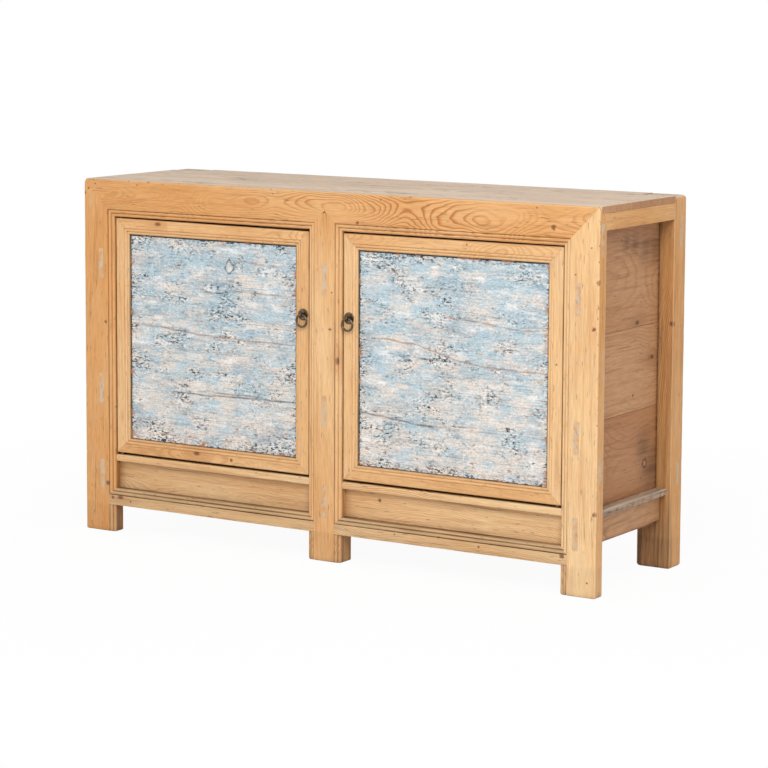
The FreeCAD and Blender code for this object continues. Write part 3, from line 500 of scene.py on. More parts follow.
def dents(u, seed, per_metre=9.0):
    """Dents along an edge: a sum of narrow bells at random places, each 2 to 9 mm wide."""
    random = np.random.default_rng(seed + 71)
    count = max(2, int(np.ptp(u) * per_metre))
    middle = random.uniform(u.min(), u.max(), count)
    width = random.uniform(0.002, 0.009, count)
    depth = random.uniform(0.1, 1.0, count) ** 2
    return (depth * np.exp(-((u[..., None] - middle) / width) ** 2)).sum(-1)


def outward(across, depth):
    """Unit normals of a closed profile, pointing out of it."""
    step = np.stack([np.roll(across, -1) - np.roll(across, 1), np.roll(depth, -1) - np.roll(depth, 1)])
    step /= np.maximum(np.hypot(*step), 1e-9)
    area = (across * np.roll(depth, -1) - np.roll(across, -1) * depth).sum()
    return np.stack([step[1], -step[0]]) * (1 if area > 0 else -1)


def wrapped(rows, columns, ring=False):
    """Quads of a grid of points whose second parameter closes on itself, as the first does in a ring."""
    index = np.arange(rows * columns).reshape(rows, columns)
    if ring:
        index = np.concatenate([index, index[:1]])
    following = np.roll(index, -1, axis=1)
    return np.stack([index[:-1], index[1:], following[1:], following[:-1]], -1).reshape(-1, 4)


def capped(points):
    """Shell of a wrapped grid with one face on points of its own at each end, and the place in the grid that
    each of the shell's points comes from."""
    rows, columns = points.shape[:2]
    own = np.arange(rows * columns)
    source = np.concatenate([own, own[:columns], own[-columns:]])
    first, last = rows * columns + np.arange(2 * columns).reshape(2, columns)
    shell = {"points": points.reshape(-1, 3)[source], "quads": wrapped(rows, columns),
             "caps": [first, last[::-1]]}
    return shell, source


def faced_out(shell):
    """Turns a shell's faces round if they enclose a negative volume."""
    points = shell["points"]
    p = points[shell["quads"]]
    volume = np.einsum("ij,ij->", p[:, 0], np.cross(p[:, 1], p[:, 2]) + np.cross(p[:, 2], p[:, 3]))
    for cap in shell["caps"]:
        q = points[cap]
        volume += np.einsum("j,ij->", q[0], np.cross(q[1:-1], q[2:]))
    if volume < 0:
        shell["quads"] = shell["quads"][:, ::-1]
        shell["caps"] = [cap[::-1] for cap in shell["caps"]]
    return shell


def carried(profile, begin, end, place, seed, tone=0.5, step=0.008, rounding=(0.0, 0.0), end_grime=0.3,
            tilt=None, heart=(0.008, 0.06), anchor=None, figure=1.0, dust=0.0, joint=(0.1, 0.1)):
    """Solid of a profile carried along a straight path.

    Point (i, k) lies at origin + along * a + across * c + inward * t, where (c, t) is the profile's point k
    and a runs from begin[k] to end[k], so that the ends may be mitred. Near a rounded end the profile shrinks
    by r - sqrt(r^2 - (r - d)^2) at distance d from it. The surface is lifted by a slow swell and sunk by
    dents along rubbed edges, both fading towards the ends. The grain runs along the path, about a pith that
    lies at heart (across, inward) from the profile's middle and leans by tilt. A square end that meets
    another piece has a dark line of dirt."""
    sizes = bpy.context.scene.sideboard_sizes
    origin, along, across, inward = (np.asarray(value, float) for value in place)
    own_c, own_t, grime, wear = profile
    begin, end = (np.broadcast_to(value, own_c.shape) for value in (begin, end))
    random = np.random.default_rng(seed)
    reach = float((end - begin).max())
    arc = np.linspace(0, math.pi / 2, 6)
    first, last = (radius * (1 - np.cos(arc)) for radius in rounding)
    count = max(2, int(round((reach - sum(rounding)) / step)))
    away = np.linspace(rounding[0], reach - rounding[1], count + 1)
    # Rows stand close together along a quarter round, and at a square end for its line of dirt
    lead = np.array([0.0, 0.0008, 0.0022])
    away = np.concatenate([first[:-1] if rounding[0] else lead, away[1 - bool(rounding[0]):-1],
                           (reach - last)[::-1] if rounding[1] else reach - lead[::-1]])
    gaps = (away, reach - away)
    seam = sum(dirt * np.exp(-gap / SEAM) * (not radius)
               for dirt, gap, radius in zip(joint, gaps, rounding))
    a = begin + (end - begin) * (away / reach)[:, None]
    c, t = (np.broadcast_to(value, a.shape).copy() for value in (own_c, own_t))
    normal = outward(own_c, own_t)
    seat = np.random.default_rng(seed + 5).uniform(0, 9)
    sunk = sizes.nick * wear * dents(a, seed) * (wear > 0.55)
    lift = sizes.ripple * swell(a + seat, c + 1.7 * t, seed) - sunk
    lift = lift * np.clip(np.minimum(*gaps) / 0.012, 0, 1)[:, None]
    c += normal[0] * lift
    t += normal[1] * lift
    for radius, gap, level, base in zip(rounding, gaps, (begin, end), (begin.min(), end.max())):
        if radius:
            near = np.clip(radius - gap, 0, radius)[:, None]
            inset = (radius - np.sqrt(radius ** 2 - near ** 2)) * (np.abs(level - base) < EPSILON)
            for value, own in ((c, own_c), (t, own_t)):
                middle, half = (own.max() + own.min()) / 2, np.ptp(own) / 2
                value += (middle - value) * inset / half
    shell, source = capped(origin + a[..., None] * along + c[..., None] * across + t[..., None] * inward)
    middle = (own_c.max() + own_c.min()) / 2
    lean = random.uniform(-0.03, 0.03, 2) if tilt is None else np.array(tilt)
    pith = np.array(heart) * (random.uniform(0.8, 1.25, 2) if anchor is None else 1)
    run = a - (a.mean() if anchor is None else anchor)
    grain = np.stack([run + random.uniform(0, 60), c - middle + pith[0] + lean[0] * run,
                      t + pith[1] + lean[1] * run], -1)
    shell["grain"] = grain.reshape(-1, 3)[source]
    # Grime and dust, each with painted shade, and the dark lines of the seams
    soiled_and_shaded = np.clip(grime + dust + seam[:, None], 0, 1)
    for key, values in (("grime", soiled_and_shaded), ("wear", wear), ("tone", tone), ("figure", figure)):
        shell[key] = np.broadcast_to(values, a.shape).reshape(-1)[source]
    shell["grime"][a.size:] = end_grime
    shell["wear"][a.size:] = 0.0
    return faced_out(shell)


def rounded_rectangle(width, height, radius, spacing=0.016):
    """Closed profile of a board about its own middle: four quarter rounds and straight sides between them."""
    turn = np.linspace(0, math.pi / 2, 5)
    half = np.array([width, height]) / 2 - radius
    stretches = []
    for number in range(4):
        angle = turn + number * math.pi / 2
        sign = np.array([1 if number in (0, 3) else -1, 1 if number < 2 else -1])
        bend = half[:, None] * sign[:, None] + radius * np.array([np.cos(angle), np.sin(angle)])
        stretches.append((bend[0], bend[1], 0.0, np.sin(2 * turn)))
        axis = number % 2
        places = np.linspace(-half[axis], half[axis], int(2 * half[axis] / spacing) + 2)[1:-1]
        straight = np.tile(bend[:, -1:], len(places))
        straight[axis] = -places if number < 2 else places
        stretches.append((straight[0], straight[1], 0.0, 0.0))
    return sweep_points(*stretches)


def board(low, high, axis, seed, radius=0.0015, rounding=(0.0012, 0.0012), spacing=0.016, step=0.012,
          **looks):
    """Sawn board between two corners, with its grain along one axis and its edges eased."""
    low, high = np.array(low, float), np.array(high, float)
    size = high - low
    rest = sorted((i for i in range(3) if i != axis), key=lambda i: -size[i])
    origin = (low + high) / 2
    origin[axis] = 0.0
    place = (origin, *np.eye(3)[[axis, rest[0], rest[1]]])
    profile = rounded_rectangle(size[rest[0]], size[rest[1]], radius, spacing)
    return carried(profile, low[axis], high[axis], place, seed, step=step, rounding=rounding, **looks)


def planks(low, high, axis, joints, gap=HAIRLINE):
    """Corners of the planks between joints along one axis, each a hairline short of its joints."""
    for start, stop in zip(joints[:-1], joints[1:]):
        lower, upper = np.array(low, float), np.array(high, float)
        lower[axis], upper[axis] = start + gap, stop - gap
        yield lower, upper


def notched(low, high, seed, **looks):
    """Board along X whose part between the rear posts is shorter: two stretches with one run of grain."""
    breaks = [low[1], high[1]] if high[1] < Y_REAR + 0.001 else [low[1], Y_REAR - 0.0002, high[1]]
    middle = (breaks[0] + breaks[1]) / 2
    shells = []
    for y0, y1, reach in zip(breaks[:-1], breaks[1:], (high[0], REAR_REACH - NOTCH_GAP)):
        shells.append(board((-reach, y0, low[2]), (reach, y1, high[2]), ALONG_X, seed, radius=0.0003,
                            rounding=(0.0, 0.0), heart=((y0 + y1) / 2 - middle, 0.07), anchor=0.0, **looks))
    return shells


def add_dirt_and_shade(shell, dirt):
    """Adds dirt and painted shade to a shell's darkening attribute."""
    shell["grime"] = np.clip(shell["grime"] + dirt, 0, 1)


def soil_feet(shells):
    """Dirt that fades upwards from the floor within a few millimetres, and a little on the feet's sides."""
    for shell in shells:
        height = shell["points"][:, 2]
        add_dirt_and_shade(shell, 0.5 * np.exp(-height / 0.003) + 0.12 * (height < FOOT_TOP))


def eased_corner(points, edge_x, edge_z, radius):
    """Rounds an upper corner of the front: the L-shaped line at a distance m inside it becomes the arc of
    radius (radius - m) about the same centre."""
    inside_x = (edge_x - points[..., 0]) * np.sign(edge_x)
    inside_z = edge_z - points[..., 2]
    near = (inside_x < radius) & (inside_z < radius)
    depth = np.clip(np.minimum(inside_x, inside_z), 0, radius * 0.98)
    reach = radius - depth
    share = np.where(inside_x <= inside_z, (radius - inside_z) / reach, 2 - (radius - inside_x) / reach)
    turn = share * math.pi / 4
    moved_x = edge_x - np.sign(edge_x) * (radius - reach * np.cos(turn))
    moved_z = edge_z - (radius - reach * np.sin(turn))
    points[..., 0] = np.where(near, moved_x, points[..., 0])
    points[..., 2] = np.where(near, moved_z, points[..., 2])


def make_piece(name, shells, finish, slot, *nodes, body="carcass"):
    """One mesh of several shells, with their attributes, that rides on a body and stands for CAD nodes."""
    start = np.cumsum([0] + [len(shell["points"]) for shell in shells])
    faces = []
    for shell, shift in zip(shells, start):
        faces += (shell["quads"] + shift).tolist() + [(cap + shift).tolist() for cap in shell["caps"]]
    joined = {key: np.concatenate([shell[key] for shell in shells]) for key in shells[0]
              if key not in ("quads", "caps")}
    mesh = bpy.data.meshes.new(name)
    mesh.from_pydata(joined.pop("points").tolist(), [], faces)
    for key, values in joined.items():
        kind, field = ("FLOAT_VECTOR", "vector") if values.ndim == 2 else ("FLOAT", "value")
        mesh.attributes.new(key, kind, "POINT").data.foreach_set(field, values.astype(np.float32).ravel())
    mesh.polygons.foreach_set("use_smooth", np.ones(len(mesh.polygons), bool))
    mesh.set_sharp_from_angle(angle=math.radians(38))
    mesh.materials.append(bpy.data.materials[finish])
    mesh.update()
    piece = bpy.data.objects.new(name, mesh)
    bpy.context.scene.collection.objects.link(piece)
    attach(piece, body)
    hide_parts(*nodes)
    return piece


def make_rail(name, node, axis, span, seed, finish, slot, **looks):
    """Board in a node's box, cut to a span along its axis, as its tenons lie hidden in its neighbours."""
    low, high = BOX[node].copy()
    low[axis], high[axis] = span
    make_piece(name, [board(low, high, axis, seed, **looks)], finish, slot, node)


def second_finish(piece, finish, chosen):
    """Gives another finish to the faces that chosen(centres, normals) picks."""
    faces = piece.data.polygons
    centres, normals = np.empty(3 * len(faces)), np.empty(3 * len(faces))
    faces.foreach_get("center", centres)
    faces.foreach_get("normal", normals)
    piece.data.materials.append(bpy.data.materials[finish])
    picked = chosen(centres.reshape(-1, 3), normals.reshape(-1, 3))
    faces.foreach_set("material_index", picked.astype(np.int32))


class SIDEBOARD_OT_finishes(bpy.types.Operator):
    """Makes the materials: three pines, end grain, old paint and forged iron"""

    bl_idname = "sideboard.finishes"
    bl_label = "Finishes"

    def execute(self, context):
        c = context.scene.sideboard_colours
        knots = [(x, Y_FRONT + 0.001, z, radius) for x, z, radius in FRONT_MARKS]
        knots += [(0.722, Y_REAR + 0.001, 0.585, 0.009),
                  (-0.282, BOX["left_door_top_rail"][0][1], 0.216, 0.006),
                  (0.137, BOX["apron_panel_right"][0][1], 0.16, 0.006)]
        pine("waxed_pine", c.straw, c.honey, c.ember, c.umber, c.end_grain, c.knot, knots=knots)
        pine("weathered_pine", c.bleached, c.driftwood, c.ash, c.umber, c.ash, c.umber, ring=0.009, flame=0.1,
             figure=0.45, streaks=0.75, rough=0.66)

        # The right end panel: two knots, the pale eye of the larger one, a row of dark smears along its top
        # that paints the shade under the upper rail, and two smears of dirt lower down
        panel = BOX["side_panel_right"][1][0]
        rings = [(panel, 0.094, 0.262, 0.015), (panel, 0.03, 0.43, 0.005)]
        smears = [(panel, y, z, radius) for y, z, radius in (
            (-0.012, 0.788, 0.03), (0.03, 0.78, 0.035), (0.086, 0.764, 0.045), (0.13, 0.762, 0.05),
            (0.13, 0.25, 0.07), (0.09, 0.3, 0.05))]
        pine("brown_pine", c.tan, c.walnut, c.russet, c.umber, c.walnut, c.umber, ring=0.0055, flame=0.07,
             figure=0.55, streaks=0.5, knots=rings, eyes=[(panel, 0.094, 0.262, 0.009)], stains=smears)
        end_grain("pine_end_grain", c)
        old_paint("chalky_blue_paint", c)
        forged_iron("forged_iron", c)
        return {"FINISHED"}


class SIDEBOARD_OT_front_frame(bpy.types.Operator):
    """Builds the moulded posts, the mitred top rail and the lapped bottom rails"""

    bl_idname = "sideboard.front_frame"
    bl_label = "Front frame"

    def execute(self, context):
        s = context.scene.sideboard_sizes
        bead, drop = s.bead_width, s.bead_drop
        rail_bead = RAIL_TOP - bead
        tip = OPENING_TOP + HALF_CENTRE

        # Outer posts: their beads stop where the bottom rail laps over them, and a foot goes on below
        face = POST_WIDTH - bead
        profile = moulding(face, bead, drop, s.post_arris, POST_DEPTH, s.groove, rabbet=(0.0, TOP_LIP),
                           lap=RAIL_LAP)
        c, t = profile[:2]
        lapped = (c > face - EPSILON / 2) & (t < RAIL_LAP)
        begin = np.where(lapped, rail_bead + np.clip(c - face, 0, bead), 0.0)
        end = np.minimum(Z_TOP - c, np.where(t > TOP_LIP, Z_SEAT, Z_TOP))
        foot = [column[lapped] for column in profile]
        side_and_front = {"left": (0.75, 0.95), "right": (0.7, 0.2)}
        for number, (side, sign) in enumerate(SIDES.items()):
            place = ((sign * X_OUT, Y_FRONT, 0.0), (0, 0, 1), (-sign, 0, 0), (0, 1, 0))
            tone = np.where(c < EPSILON, *side_and_front[side])
            shells = [carried(profile, begin, end, place, 11 + number, tone, rounding=FOOT_ROUNDING,
                              heart=(0.13, 0.03), figure=0.4),
                      carried(foot, 0.0, FOOT_TOP, place, 31 + number, tone.min(), rounding=FOOT_ROUNDING,
                              dust=0.2)]
            eased_corner(shells[0]["points"], sign * X_OUT, Z_TOP, s.corner)
            soil_feet(shells)
            make_piece(f"post_{side}", shells, "waxed_pine", "honey_pine", f"front_post_{side}")

        # Centre post: two mirrored halves, pointed at the top
        half_face = HALF_CENTRE - bead
        plain = np.linspace(EPSILON, half_face - EPSILON, 8)
        deep = np.ptp(BOX["front_post_centre"][:, 1])
        back = np.array([drop + 0.004, RAIL_LAP - EPSILON, RAIL_LAP + EPSILON, deep])
        # The inner sides take painted shade (0.35), darkening the gaps beside the doors
        half = sweep_points((plain, np.zeros(8), 0.0, 0.0),
                            *beads(half_face, bead, drop, s.groove, (0.6, 0.2, 0.1)),
                            (np.full(4, HALF_CENTRE), back, 0.35, 0.0))
        profile = tuple(np.concatenate([sign * column[::-1], column])
                        for sign, column in zip((-1, 1, 1, 1), half))
        c, t = profile[:2]
        lapped = (np.abs(c) > half_face - EPSILON / 2) & (t < RAIL_LAP)
        begin = np.where(lapped, rail_bead + np.clip(np.abs(c) - half_face, 0, bead), 0.0)
        place = ((CENTRE_X, Y_FRONT, 0.0), (0, 0, 1), (1, 0, 0), (0, 1, 0))
        shells = [carried(profile, begin, tip - np.abs(c), place, 13, rounding=FOOT_ROUNDING,
                          heart=(0.1, 0.03), figure=0.35)]
        for sign in SIDES.values():
            foot = [column[lapped & (c * sign > 0)] for column in profile]
            shells.append(carried(foot, 0.0, FOOT_TOP, place, 14, rounding=FOOT_ROUNDING, dust=0.2))
        soil_feet(shells)
        shells[0]["tone"] += 0.35 * np.clip((shells[0]["points"][:, 2] - OPENING_TOP + 0.06) / 0.1, 0, 1)
        make_piece("post_centre", shells, "waxed_pine", "honey_pine", "front_post_centre")

        # Top rail: two halves with one run of grain, cut to the centre post's point where they meet
        rail_face = Z_TOP - OPENING_TOP - bead
        profile = moulding(rail_face, bead, drop, s.post_arris, POST_DEPTH, s.groove,
                           rabbet=(Z_TOP - Z_SEAT, TOP_LIP), stop=Z_TOP - tip)
        c = profile[0]
        place = ((0.0, Y_FRONT, Z_TOP), (1, 0, 0), (0, 0, -1), (0, 1, 0))
        shoulder = np.clip(c - (Z_TOP - tip), 0, None)
        shells = [carried(profile, begin, end, place, 36, 0.88, tilt=(0.004, 0.015), heart=(0.006, 0.042),
                          anchor=0.0, figure=1.3, joint=joint)
                  for begin, end, joint in ((c - X_OUT, CENTRE_X - shoulder, (0.1, 0.0)),
                                            (CENTRE_X + shoulder, X_OUT - c, (0.0, 0.1)))]
        for sign in SIDES.values():
            for shell in shells:
                eased_corner(shell["points"], sign * X_OUT, Z_TOP, s.corner)
        make_piece("top_rail", shells, "waxed_pine", "honey_pine", "front_top_rail")

        # Bottom rails: their bead laps over the beads of the posts
        face = rail_bead - FOOT_TOP
        profile = moulding(face, bead, drop, s.rail_arris, POST_DEPTH, s.groove, (0.7, 0.35, 0.3))
        c, t, grime, wear = profile
        lap = np.where(t < RAIL_LAP, bead - np.clip(c - face, 0, bead), 0.0)
        profile = (c, t, np.clip(grime + 0.25 * (c > face), 0, 1), wear)
        place = ((0.0, Y_FRONT, FOOT_TOP), (1, 0, 0), (0, 0, 1), (0, 1, 0))
        for number, (bay, (x0, x1)) in enumerate(BAYS.items()):
            shell = carried(profile, x0 - lap, x1 + lap, place, 21 + number, 0.2, dust=0.26,
                            heart=(0.05, 0.05), figure=0.6, tilt=(0.01, 0.02))
            make_piece(f"lower_rail_{bay}", [shell], "waxed_pine", "honey_pine", f"bottom_rail_{bay}")
        return {"FINISHED"}


class SIDEBOARD_OT_front_boards(bpy.types.Operator):
    """Builds the middle rails under the doors and the recessed aprons below them"""

    bl_idname = "sideboard.front_boards"
    bl_label = "Middle rails and aprons"

    def execute(self, context):
        for number, (bay, (x0, x1)) in enumerate(BAYS.items()):
            make_rail(f"door_sill_{bay}", f"middle_rail_{bay}", ALONG_X, (x0, x1), 41 + number, "waxed_pine",
                      "honey_pine", radius=0.0035, tone=0.2, dust=0.08)
            # Dust and painted shade darken both aprons, the left one more
            shell = board(*BOX[f"apron_panel_{bay}"], ALONG_X, 44 + number, tone=0.35,
                          dust=0.18 - 0.1 * number, tilt=(0.004, 0.012), heart=(0.05, 0.05), figure=0.55,
                          spacing=0.005)
            # Painted shade with dirt along the apron's ends and under the middle rail
            x, _, z = shell["points"].T
            edge = np.minimum(np.minimum(x - x0, x1 - x), BOX[f"middle_rail_{bay}"][0][2] - z)
            add_dirt_and_shade(shell, 0.4 * np.exp(-np.clip(edge, 0, 1) / 0.007))
            make_piece(f"apron_{bay}", [shell], "waxed_pine", "honey_pine", f"apron_panel_{bay}")
        return {"FINISHED"}


class SIDEBOARD_OT_door_frames(bpy.types.Operator):
    """Builds the mitred and beaded frames of the doors"""

    bl_idname = "sideboard.door_frames"
    bl_label = "Door frames"

    def execute(self, context):
        s = context.scene.sideboard_sizes
        for number, (side, sign) in enumerate(SIDES.items()):
            hinge, lock, upper, lower = (BOX[f"{side}_door_{name}"] for name in DOOR_FRAME)
            front, rear = hinge[:, 1]
            bottom, top = hinge[:, 2]
            left, right = min(hinge[0][0], lock[0][0]), max(hinge[1][0], lock[1][0])
            hinge_edge = left if sign < 0 else right
            slope = s.slope * (1.0, 0.5)[number]
            widths = {"stile": np.ptp(hinge[:, 0]), "top": np.ptp(upper[:, 2]), "bottom": np.ptp(lower[:, 2])}
            flats = {name: width - s.door_bead_width for name, width in widths.items()}
            # Painted shade (0.9) on the outer sides of the doors; dirt and painted shade (0.5) by the panels
            profiles = {name: moulding(flat, s.door_bead_width, s.door_bead_drop, s.door_arris, rear - front,
                                       s.groove, (0.15, 0.15, 0.5), 0.9)
                        for name, flat in flats.items()}

            def mitre(name, other):
                """How far a piece's end lies from the door's edge: the cut meets the other piece's flat."""
                across, own, met = profiles[name][0], flats[name], flats[other]
                return np.where(across < own, across * met / own, met + across - own)

            def fitted(name, shell):
                """Planes the upper edge, in proportion to the distance from the hinge, down to the bead."""
                x, _, z = shell["points"].T
                share = np.clip(np.abs(x - hinge_edge) / (right - left), 0, 1)
                shell["points"][:, 2] -= slope * share * np.clip(1 - (top - z) / flats["top"], 0, 1)
                make_piece(f"{side}_{name}", [shell], "waxed_pine", "honey_pine", f"{side}_door_{name}",
                           body=f"{side}_door")

            begin, end = bottom + mitre("stile", "bottom"), top - mitre("stile", "top")
            stiles = (("hinge_stile", hinge, -sign), ("lock_stile", lock, sign))
            for order, (name, edge, inward) in enumerate(stiles):
                x = edge[0][0] if inward > 0 else edge[1][0]
                place = ((x, front, 0.0), (0, 0, 1), (inward, 0, 0), (0, 1, 0))
                fitted(name, carried(profiles["stile"], begin, end, place, 51 + 10 * number + order,
                                     0.4 - 0.12 * sign, heart=(0.09, 0.03), figure=0.4, joint=(0.25, 0.25)))
            for order, (name, z, rise) in enumerate((("top", top, -1), ("bottom", bottom, 1))):
                reach = mitre(name, "stile")
                place = ((0.0, front, z), (1, 0, 0), (0, 0, rise), (0, 1, 0))
                fitted(f"{name}_rail", carried(profiles[name], left + reach, right - reach, place,
                                               55 + 10 * number + order, 0.55, figure=0.6, joint=(0.25, 0.25),
                                               dust=0.06 * order))
        return {"FINISHED"}


def wandering(x, x0, x1, heights, seed, amount=0.0009):
    """Line along a plank through evenly spaced heights, with a slow swell of about a millimetre."""
    places = np.linspace(x0, x1, len(heights))
    return np.interp(x, places, heights) + amount * swell(x, 0 * x, seed, long=0.07)


def painted_plank(box, lower, upper, lines, knot, seed):
    """Plank between two wandering lines, as a grid of X and of the share of its height, with its edges turned
    back. Cracks are narrow grooves whose depth is a bell of the distance from their line. A knot (x, z, half
    width, half height) swells by a bell of its drop-shaped radius and has a dark rim where that is 1."""
    sizes = bpy.context.scene.sideboard_sizes
    hem, hem_count, along_step, up_step = 0.0128, 8, 0.0032, 0.0016
    ease, covered, fade = 0.0006, 0.006, 0.03
    (x0, front, z0), (x1, back, z1) = box
    margin = np.linspace(0, hem, hem_count + 1)[:-1]
    x = np.linspace(x0 + hem, x1 - hem, int((x1 - x0) / along_step))
    x = np.concatenate([x0 + margin, x, x1 - margin[::-1]])[:, None]
    low, high = lower(x), upper(x)
    share = np.linspace(0, 1, int(float((high - low).max()) / up_step))[None, :]
    z = low + ease + (high - low - 2 * ease) * share
    x_grid = np.broadcast_to(x, z.shape)
    ridges = 0.00025 * swell(x_grid, z, seed + 3, long=0.3, short=0.006)
    y = front + sizes.ripple * swell(x_grid, z, seed) + ridges
    crack, bare, pale = (np.zeros(z.shape) for _ in range(3))
    broken = np.clip(0.75 + 1.2 * swell(x, 0 * x, seed + 9, long=0.07), 0, 1)
    for line, (start, stop), dark, light in lines:
        near = np.exp(-((z - line(x)) / sizes.crack) ** 2)
        near = near * np.clip((x - start) / fade, 0, 1) * np.clip((stop - x) / fade, 0, 1) * broken
        y = y + (0.0003 + 0.0006 * dark) * near
        crack = np.maximum(crack, dark * near)
        bare = np.maximum(bare, light * near)
    if knot:
        rise = (z - knot[1]) / knot[3]
        rise = np.where(rise < 0, 1.5 * rise, rise)
        spread = np.hypot((x - knot[0]) / knot[2] / (1 - 0.55 * np.clip(rise, 0, 1)), rise)
        spread = spread * (1 + 0.2 * swell(x_grid, z, seed + 12, long=0.02, short=0.02))
        pale = 0.6 * np.exp(-(spread / 0.8) ** 4)
        y = y - 0.0012 * np.exp(-spread ** 2) + 0.0008 * np.exp(-((spread - 1) / 0.2) ** 2)
        crack = np.maximum(crack, 0.9 * np.exp(-((spread - 1.0) / 0.14) ** 2))

    # Quarter rounds at the lower and upper edge, then straight back
    turn = np.linspace(0, math.pi / 2, 4)[1:]
    out, sunk = ease * np.sin(turn), ease * (1 - np.cos(turn))
    z_all = np.concatenate([low, low + ease - out[::-1], z, high - ease + out, high], 1)
    y_all = np.concatenate([0 * low + back, y[:, :1] + sunk[::-1], y, y[:, -1:] + sunk, 0 * high + back], 1)
    pad = np.zeros((len(x), len(turn) + 1))
    pale = np.concatenate([pad, pale, pad], 1)
    crack, bare = (np.concatenate([pad + 0.2, values, pad + 0.2], 1) for values in (crack, bare))
    from_left, from_right, from_below, from_above = x - x0, x1 - x, z_all - z0, z1 - z_all
    near_edge = np.minimum(np.minimum(from_left, from_right), np.minimum(from_below, from_above))
    # A painted shadow with dirt along the panel's visible edges, broadest at the top and left
    rim = np.maximum(np.maximum(1.5 - (from_above - covered) / 0.004, 1.2 - (from_left - covered) / 0.005),
                     np.maximum(0.9 - (from_below - covered) / 0.004, 1.1 - (from_right - covered) / 0.006))
    shell, source = capped(np.stack([np.broadcast_to(x, z_all.shape), y_all, z_all], -1))
    run, deep, rise = (shell["points"] - (x0, front, (z0 + z1) / 2)).T
    shell["grain"] = np.stack([run + seed, rise + 0.03, deep + 0.06 + 0.04 * run], -1)
    edge = 0.15 * np.exp(-(near_edge - covered) / 0.009)
    for key, values in zip(PAINT_MARKS, (crack, bare, edge, rim, pale)):
        shell[key] = np.clip(values, 0, 1).reshape(-1)[source]
    for key, level in (("grime", 0.05), ("wear", 0.0), ("tone", 0.4), ("figure", 0.9)):
        shell[key] = np.full(len(source), level)
    return faced_out(shell)


class SIDEBOARD_OT_door_panels(bpy.types.Operator):
    """Builds the painted planks of the door panels, with their joints and cracks"""

    bl_idname = "sideboard.door_panels"
    bl_label = "Door panels"

    def execute(self, context):
        for number, side in enumerate(SIDES):
            box = BOX[f"{side}_door_panel"]
            (x0, _, z0), (x1, _, z1) = box

            def line(shares, seed):
                heights = [z0 + share * (z1 - z0) for share in shares]
                return lambda x: wandering(x, x0, x1, heights, seed)

            marks = []
            for i, (shares, (start, stop), dark, light) in enumerate(PANEL_JOINTS[side] + PANEL_CRACKS[side]):
                stretch = (x0 + start * (x1 - x0), x0 + stop * (x1 - x0))
                marks.append((line(shares, 221 + 10 * number + i), stretch, dark, light))
            joints = [mark[0] for mark in marks[:len(PANEL_JOINTS[side])]]
            seams = [lambda x: 0 * x + z0, *joints, lambda x: 0 * x + z1]
            knot = (x0 + 0.6 * (x1 - x0), z0 + 0.865 * (z1 - z0), 0.0125, 0.019) if side == "left" else None
            shells = [painted_plank(box, lower, upper, marks, knot, 241 + 10 * number + i)
                      for i, (lower, upper) in enumerate(zip(seams[:-1], seams[1:]))]
            piece = make_piece(f"{side}_painted_panel", shells, "chalky_blue_paint", "painted_planks",
                               f"{side}_door_panel", body=f"{side}_door")
            second_finish(piece, "brown_pine", lambda centres, normals: normals[:, 1] > 0.7)
        return {"FINISHED"}


def tube(path, radius, ring, segments=14):
    """Round wire: circles of the given radii about a path, in the plane across its direction."""
    ahead, behind = np.roll(path, -1, axis=0), np.roll(path, 1, axis=0)
    if not ring:
        ahead[-1], behind[0] = 2 * path[-1] - path[-2], 2 * path[0] - path[1]
    tangent = ahead - behind
    tangent /= np.linalg.norm(tangent, axis=1)[:, None]
    flat = np.linalg.svd(path - path.mean(0))[2][2]
    side = np.cross(tangent, flat)
    side /= np.linalg.norm(side, axis=1)[:, None]
    angle = np.linspace(0, 2 * math.pi, segments, endpoint=False)[None, :, None]
    circle = np.cos(angle) * side[:, None] + np.sin(angle) * flat
    return path[:, None] + np.broadcast_to(radius, len(path))[:, None, None] * circle


def forged(name, side, body, points, ring=True):
    """Iron piece of a wrapped grid of points; where it isn't a ring, one face closes each end."""
    rows, columns = points.shape[:2]
    index = np.arange(rows * columns).reshape(rows, columns)
    shell = {"points": points.reshape(-1, 3), "quads": wrapped(rows, columns, ring),
             "caps": [] if ring else [index[0], index[-1][::-1]]}
    make_piece(f"{side}_{name}", [faced_out(shell)], "forged_iron", "dark_iron", f"{side}_pull_{name}",
               body=body)


